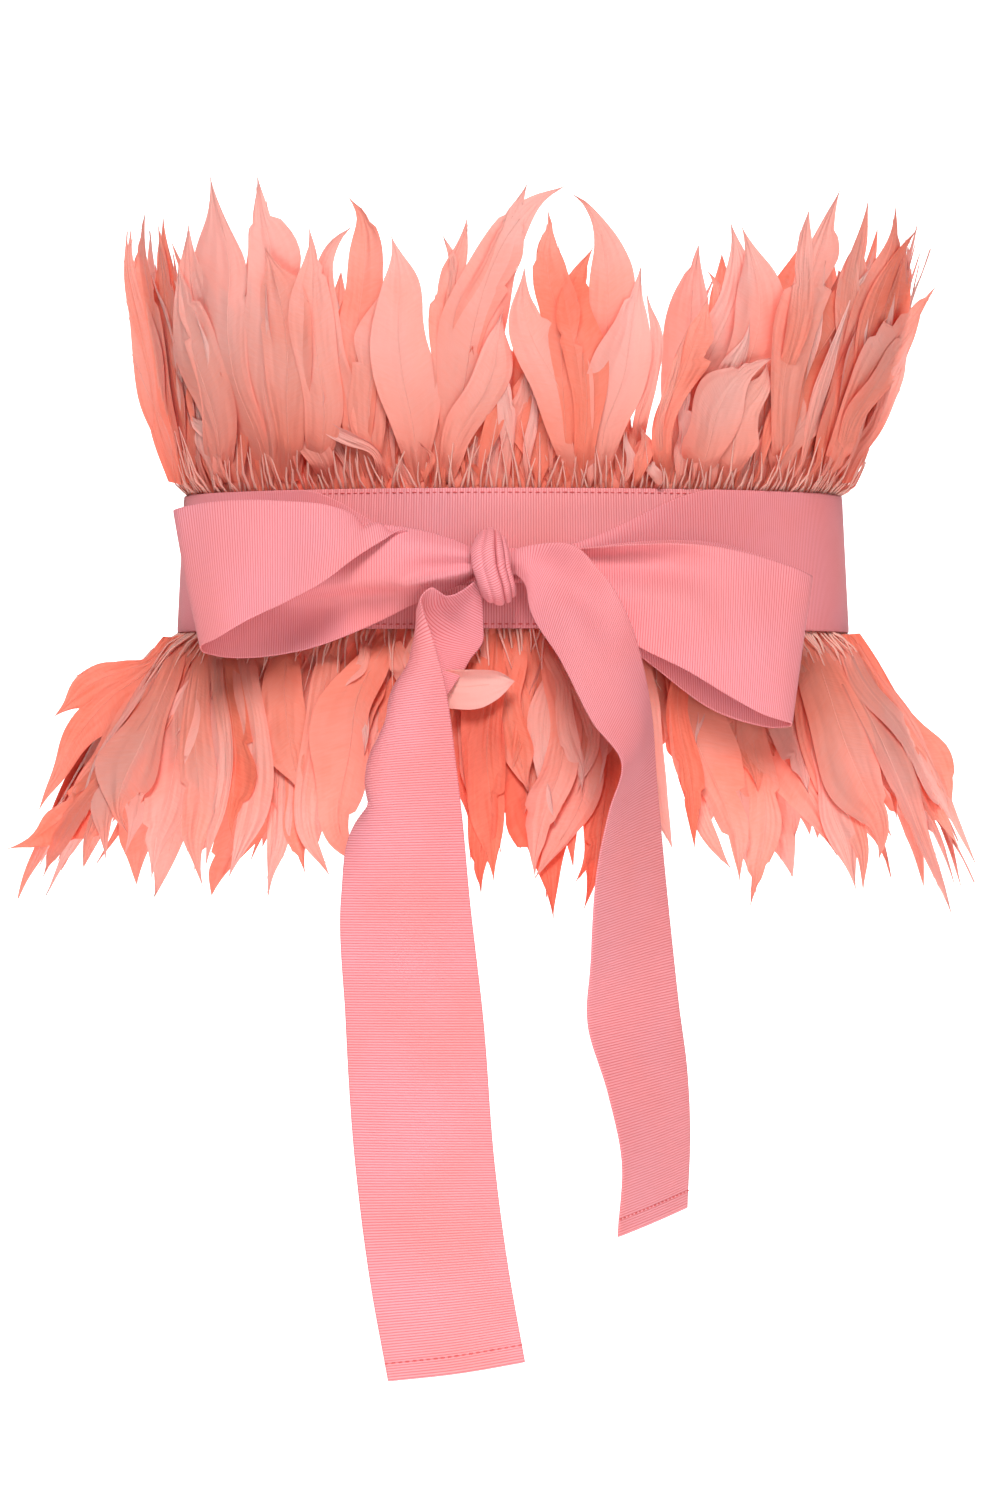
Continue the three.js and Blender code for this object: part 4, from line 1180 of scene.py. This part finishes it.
# rows of points across the ribbon, from where each loop leaves the knot until it comes back
loops = {
    "left": [
        [[-12, -101.5, -4], [-12, -102, -1], [-12, -102.5, 1]],
        [[-18, -102, -5], [-18, -102.5, 0], [-18, -103, 2.2]],
        [[-32, -102.5, -6], [-32, -103, 1], [-32, -104, 6]],
        [[-41, -103, -3], [-41, -105, 6.5], [-40, -108.6, 9.6]],
        [[-49, -104.5, 5], [-48.5, -108.4, 12], [-47, -112, 5.6]],
        [[-58, -106.5, 15], [-57.5, -110, 9], [-57, -113.5, -0.8]],
        [[-66, -108, 18.2], [-66, -111.5, 6], [-67, -113.5, -8.4]],
        [[-82, -106, 20], [-82, -107, 4], [-82, -110.5, -16.5]],
        [[-98, -101.5, 20.6], [-97, -104.5, -1], [-96, -105, -23]],
        [[-114, -94, 19.5], [-111, -97.5, -5], [-107.5, -99, -29.5]],
        [[-123, -86.5, 17.5], [-118.5, -89, -7], [-113, -91, -32]],
        [[-122, -80, 17], [-117.5, -82.5, -8], [-112.5, -84, -34]],
        [[-114, -76.5, 17], [-111, -78, -9], [-107, -79.5, -35.5]],
        [[-95, -76, 17], [-95, -77.5, -9], [-95, -79, -36]],
        [[-78, -86, 14], [-78, -89, 0], [-78, -91, -10], [-77, -84, -15], [-77, -86, -33.5]],
        [[-62, -100, 13], [-62, -104, 2], [-62, -105, -10], [-61.5, -95, -14], [-61, -94, -28.5]],
        [[-46, -106, 11.4], [-46, -110, 3], [-46, -109.5, -9.5], [-46, -101, -13], [-46, -98, -22]],
        [[-34, -105.5, 9.6], [-34, -110.8, 2.5], [-34, -107.5, -5.6], [-34, -111, -9],
         [-34, -103, -12.2], [-34, -100, -16]],
        [[-24, -105, 6.8], [-24, -109.2, 1.6], [-24, -105.5, -3.4], [-24, -109, -6.6],
         [-24, -103, -9.5], [-24, -100, -12]],
        [[-16.5, -104, 3.9], [-16.5, -107.2, 0.6], [-16.5, -104.6, -2.6], [-16.5, -107.4, -4.8],
         [-16.5, -102, -7], [-16.5, -99.8, -8.4]],
        [[-12, -102.5, 1.6], [-12, -104, 0], [-12, -103, -2], [-12, -104.5, -3.6],
         [-12, -101, -5], [-12, -99.5, -6]],
    ],
    "right": [
        [[-3, -103, 1.6], [-3, -104, -2], [-3, -103, -6]],
        [[3, -103.5, 1.6], [3, -105, -3], [3, -103.5, -7]],
        [[14, -104.5, 2.2], [14, -106.5, -5], [14, -105.5, -12]],
        [[25, -108, 3], [25, -103.5, 0], [25, -109, -10], [25, -108, -19]],
        [[45, -109, 4.4], [45, -103, 0.6], [45, -112, -15], [44, -111, -32]],
        [[63, -107.5, 4.6], [63, -104.5, 0], [63, -113, -18], [62, -111, -41]],
        [[80, -103.5, 2.5], [79, -108.5, -24], [78, -108.5, -50.5]],
        [[95, -98.5, -1.5], [93, -102.5, -29], [90.5, -103.5, -57]],
        [[104, -94, -4.6], [100.5, -97, -32], [97, -99.5, -59]],
        [[108, -89, -6.5], [104, -91.5, -33.5], [100.3, -94.5, -60]],
        [[107, -84, -5.5], [103.5, -86.5, -33.5], [99.8, -89, -61]],
        [[101, -81, -3], [98, -83.5, -32.5], [95, -86.5, -61.5]],
        [[88, -80, 2], [88, -82.5, -29], [88, -86, -60.5]],
        [[70, -86, 6], [71, -88, -24], [72, -90.5, -55]],
        [[48, -93, 6], [49, -94, -16], [50, -96.5, -39]],
        [[25, -97.5, 3.5], [25, -97.5, -8], [25, -98.5, -19]],
        [[3, -99.5, 1.5], [3, -99, -3], [3, -99.5, -6.5]],
        [[-3, -99.5, 1.5], [-3, -99, -2], [-3, -99.5, -6]],
    ],
}

# the same for the tails, from the knot down
tails = {
    "left": [
        [[-13.9, -105, -8.7], [-13, -104, -10], [-12, -103, -11.5]],
        [[-18.9, -108.5, -12.5], [-16, -103, -15], [-11.3, -99.5, -17.5]],
        [[-24, -111, -14.3], [-20, -103, -19], [-11, -98, -24]],
        [[-29.7, -113.5, -11.4], [-30, -108, -18], [-22, -101, -25], [-11, -97.5, -30]],
        [[-33.2, -115.5, -15], [-34.2, -111, -19], [-30, -104, -27], [-12.5, -98, -33]],
        [[-32.6, -116.5, -19], [-34.6, -113, -22], [-32, -105.5, -31], [-15, -99.5, -36]],
        [[-29.5, -117.5, -28], [-33, -117, -29.5], [-36.2, -113, -31.5], [-31, -106, -36], [-18, -102, -41]],
        [[-25.5, -119, -42], [-34, -120.5, -43.5], [-42.5, -117, -46], [-37, -111, -48], [-24, -107, -50]],
        [[-20.6, -122, -74], [-36.5, -125, -75], [-52, -123.5, -76.5], [-53, -119, -77], [-42, -117, -78]],
        [[-18, -124, -97], [-37, -127.5, -97.5], [-54, -125, -98], [-57.8, -121.5, -98]],
        [[-15.8, -126, -121], [-38, -128.5, -121], [-61.5, -125, -121]],
        [[-10.8, -128, -165], [-36, -129, -165], [-60, -126, -165]],
        [[-6.7, -129, -217], [-32, -130, -217], [-56.5, -127, -217]],
        [[-1.5, -130, -256], [-26, -131, -258], [-51, -128, -260]],
        [[4, -130, -287], [-20, -131, -291], [-44.8, -128, -294]],
    ],
    "right": [
        [[0.5, -105.5, -6], [0.5, -107, -2], [0.5, -105.5, 2.5]],
        [[3.2, -106.5, -8.5], [3.5, -108, -2], [3.2, -106.5, 3.4]],
        [[6, -113, -19.5], [8, -110, -10], [11, -107.5, -4], [16.5, -113, 4.8]],
        [[16.5, -128, -37.4], [22, -123, -24], [26, -115.5, -14], [30.8, -116, -5.2]],
        [[27.2, -143, -58.8], [35, -132, -42], [42, -119, -25]],
        [[38, -155, -75], [45, -139, -65], [49, -120, -55]],
        [[33.5, -158, -91], [42, -140, -85], [51, -119, -80]],
        [[29.5, -157, -110], [41, -139, -106], [53, -118, -102]],
        [[27, -153, -145], [41, -136, -141], [56.5, -117, -137]],
        [[26, -151, -166], [42, -135, -163], [59, -116, -160]],
        [[33, -154, -190], [47, -137, -187], [62, -117, -184]],
        [[38, -157, -215], [50, -138, -212], [63, -118, -208]],
        [[36.5, -159, -240.5], [49, -140, -237], [62, -119, -233]],
    ],
}


def makeLoops():
    for name in ("left", "right"):
        piece = ribbedPiece(f"bow_loop_{name}", *ribbonGrid(loops[name]), tieCloth)
        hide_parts(f"{name}_loop")
        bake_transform(piece)


stitch = {
    "pitch": 2.5,
    "length": 1.7,
    "thickness": 0.26,
    "proud": 0.42,  # how far the thread lies above the middle of the ribbon
    "inset": 1.6,  # from the edge of the band
    "least": 0.88,  # how much the size of a stitch varies
    "most": 1.1,
    "seed": 7,
}
hem = {
    "deep": 6.5,
    "gap": 0.75,  # from the front of the tail to what is turned back behind it
    "turn": 1.4,  # ribbon used up in the fold itself
    "stitched": 5.0,  # how far above the fold
    "near": (0.6, 3),  # rows on either side of the fold, which keep it tight
}


def hemmed(rows):
    # the end of a tail turned back behind itself
    last, before = (np.array([row[0], row[len(row) // 2], row[-1]], float) for row in (rows[-1], rows[-2]))
    up = before - last
    up /= np.linalg.norm(up, axis=-1, keepdims=True)
    behind = last + np.array([0, hem["gap"], 0])
    close, far = hem["near"]
    return rows[:-1] + [last + up * far, last + up * close, (last + behind) / 2,
                        behind + up * close, behind + up * far, behind + up * hem["deep"]]


def makeTails():
    # makes both tails, and says where the stitches of their hems go
    seams = {}
    for name in ("left", "right"):
        grid, places = ribbonGrid(hemmed(tails[name]))
        piece = ribbedPiece(f"bow_tail_{name}", grid, places, tieCloth)
        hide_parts(f"{name}_tail", f"{name}_tail_hem")
        places[-1] * mm
        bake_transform(piece)
        row = int(np.searchsorted(places, places[-1] - hem["deep"] - hem["turn"] - hem["stitched"]))
        normal = gridNormals(grid)[row]
        normal = normal * -np.sign(normal[:, 1:2])
        seams[name] = grid[row] + normal * stitch["proud"]
    return seams


knot = {
    "sideHeights": [-16, -11, -4, 2, 9.6],  # where its two sides are given, bottom to top
    "leftSide": [-10.5, -12.4, -14.8, -15.6, -12.2],
    "rightSide": [1.0, 0.6, -1.2, -1.8, -3.8],
    "pleats": [(0.3, 0.085, 2.1), (-0.42, 0.13, 0.7), (0.74, 0.07, 1.1)],  # place across, width, depth
    "slant": 0.24,  # how far the pleats run askew
    "square": 0.82,  # below 1, its section is nearer a box than a circle
    "bulge": 0.5,
    "columns": 45,
    "girth": 72,  # about how far it is round the knot, which sets the number of rows
    "thickness": 0.6,
    "bunched": 0.5,  # share of the ribbon's area that shows
}


def makeKnot():
    centre = (knotLow + knotHigh) / 2
    half = (knotHigh - knotLow) / 2
    count = int(knot["girth"] / ribs["pitch"]) * ribs["perRib"]
    across = np.linspace(-1, 1, knot["columns"])
    turn = np.linspace(0, 2 * math.pi, count + 1)[:-1, None] + knot["slant"] * across[None, :]
    folds = sum(-deep * np.exp(-((across - at) / wide) ** 2) for at, wide, deep in knot["pleats"])
    bulge = knot["bulge"] * (1 + np.sin(2 * turn + 1.1) * across[None, :]) + folds
    reach = 0.6 + 0.4 * np.sqrt(np.clip(1 - across ** 2 * 0.95, 0, 1))

    def squared(value):
        return np.sign(value) * np.abs(value) ** knot["square"]

    y = centre[1] - squared(np.cos(turn)) * (half[1] * reach + bulge)
    z = centre[2] + squared(np.sin(turn)) * (half[2] * reach + bulge)
    left = np.interp(z, knot["sideHeights"], knot["leftSide"])
    right = np.interp(z, knot["sideHeights"], knot["rightSide"])
    x = left + (right - left) * (across[None, :] + 1) / 2
    grid = np.stack([x, y, z], -1)
    grid = np.concatenate([grid, grid[:1]])
    places = pathLength(grid[:, 20])
    whole = round(places[-1] / ribs["pitch"]) * ribs["pitch"]  # a whole number of ribs round it
    piece = ribbedPiece("bow_centre", grid, places * whole / places[-1], tieCloth, knot["thickness"])
    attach(piece, "belt")
    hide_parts("bow_knot")


makeKnot()
makeLoops()
seams = makeTails()
print("bow made")


def stitchTree():
    # one small stitch laid along a path again and again
    tree = bpy.data.node_groups.new("stitches", "GeometryNodeTree")
    face = tree.interface
    sockets = {"Path": face.new_socket("Path", in_out="INPUT", socket_type="NodeSocketGeometry")}
    for key, kind in (("Pitch", "Float"), ("Length", "Float"), ("Thickness", "Float"), ("Seed", "Int"),
                      ("Thread", "Material")):
        sockets[key] = face.new_socket(key, in_out="INPUT", socket_type=f"NodeSocket{kind}")
    face.new_socket("Stitches", in_out="OUTPUT", socket_type="NodeSocketGeometry")

    def node(kind, links=None, **settings):
        made = tree.nodes.new(kind)
        for key, value in settings.items():
            setattr(made, key, value)
        for key, value in (links or {}).items():
            if hasattr(value, "is_output"):
                tree.links.new(value, made.inputs[key])
            else:
                made.inputs[key].default_value = value
        return made

    given = node("NodeGroupInput").outputs
    half = node("ShaderNodeMath", {0: given["Length"], 1: 0.5}, operation="MULTIPLY").outputs[0]
    size = node("ShaderNodeCombineXYZ", {0: given["Thickness"], 1: given["Thickness"], 2: half}).outputs[0]
    bead = node("GeometryNodeMeshIcoSphere", {"Radius": 1.0, "Subdivisions": 2}).outputs[0]
    one = node("GeometryNodeTransform", {"Geometry": bead, "Scale": size}).outputs[0]
    curve = node("GeometryNodeMeshToCurve", {"Mesh": given["Path"]}).outputs[0]
    spaced = {"Curve": curve, "Length": given["Pitch"]}
    steps = node("GeometryNodeResampleCurve", spaced, mode="LENGTH").outputs[0]
    tangent = node("GeometryNodeInputTangent").outputs[0]
    turned = node("FunctionNodeAlignRotationToVector", {"Vector": tangent}, axis="Z").outputs[0]
    sizes = {2: stitch["least"], 3: stitch["most"], "Seed": given["Seed"]}
    vary = node("FunctionNodeRandomValue", sizes, data_type="FLOAT").outputs[1]
    laid = node("GeometryNodeInstanceOnPoints", {"Points": steps, "Instance": one, "Rotation": turned,
                                                 "Scale": vary}).outputs[0]
    whole = node("GeometryNodeRealizeInstances", {"Geometry": laid}).outputs[0]
    dressed = node("GeometryNodeSetMaterial", {"Geometry": whole, "Material": given["Thread"]}).outputs[0]
    node("NodeGroupOutput", {"Stitches": dressed})
    return tree, sockets


def makeStitches(name, body, paths, tree, sockets):
    # a row of stitches along each path
    points = np.concatenate(paths)
    starts = np.cumsum([0] + [len(path) for path in paths])
    edges = np.concatenate([np.stack([np.arange(a, b - 1), np.arange(a + 1, b)], -1)
                            for a, b in zip(starts[:-1], starts[1:])])
    line = bpy.data.meshes.new(f"{name}_path")
    line.from_pydata((points * mm).tolist(), edges.tolist(), [])
    holder = bpy.data.objects.new(f"{name}_path", line)
    bpy.context.scene.collection.objects.link(holder)
    modifier = holder.modifiers.new("stitches", "NODES")
    modifier.node_group = tree
    for key, value in (("Pitch", stitch["pitch"] * mm), ("Length", stitch["length"] * mm),
                       ("Thickness", stitch["thickness"] * mm), ("Seed", stitch["seed"]),
                       ("Thread", threadLook)):
        modifier[sockets[key].identifier] = value
    bpy.context.view_layer.update()
    seen = holder.evaluated_get(bpy.context.evaluated_depsgraph_get())
    mesh = bpy.data.meshes.new_from_object(seen)
    holder.modifiers.remove(modifier)
    bpy.data.objects.remove(holder)
    piece = bpy.data.objects.new(name, mesh)
    bpy.context.scene.collection.objects.link(piece)
    mesh.polygons.foreach_set("use_smooth", np.ones(len(mesh.polygons), bool))
    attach(piece, body)
    print(name, len(mesh.polygons), "faces")


around = np.linspace(1 - belt["panelEnd"], belt["panelEnd"] - 1, 600)
sewnAt = belt["half"] - stitch["inset"]
edgeRows = [ringPoint(around, belt["facingOffset"] + 1.0, side * sewnAt) for side in (-1, 1)]
tree, sockets = stitchTree()
makeStitches("band_stitches", "belt", edgeRows, tree, sockets)
for name in ("left", "right"):
    makeStitches(f"hem_stitches_{name}", f"tail_{name}", [seams[name][1:-1]], tree, sockets)
print("stitches made")
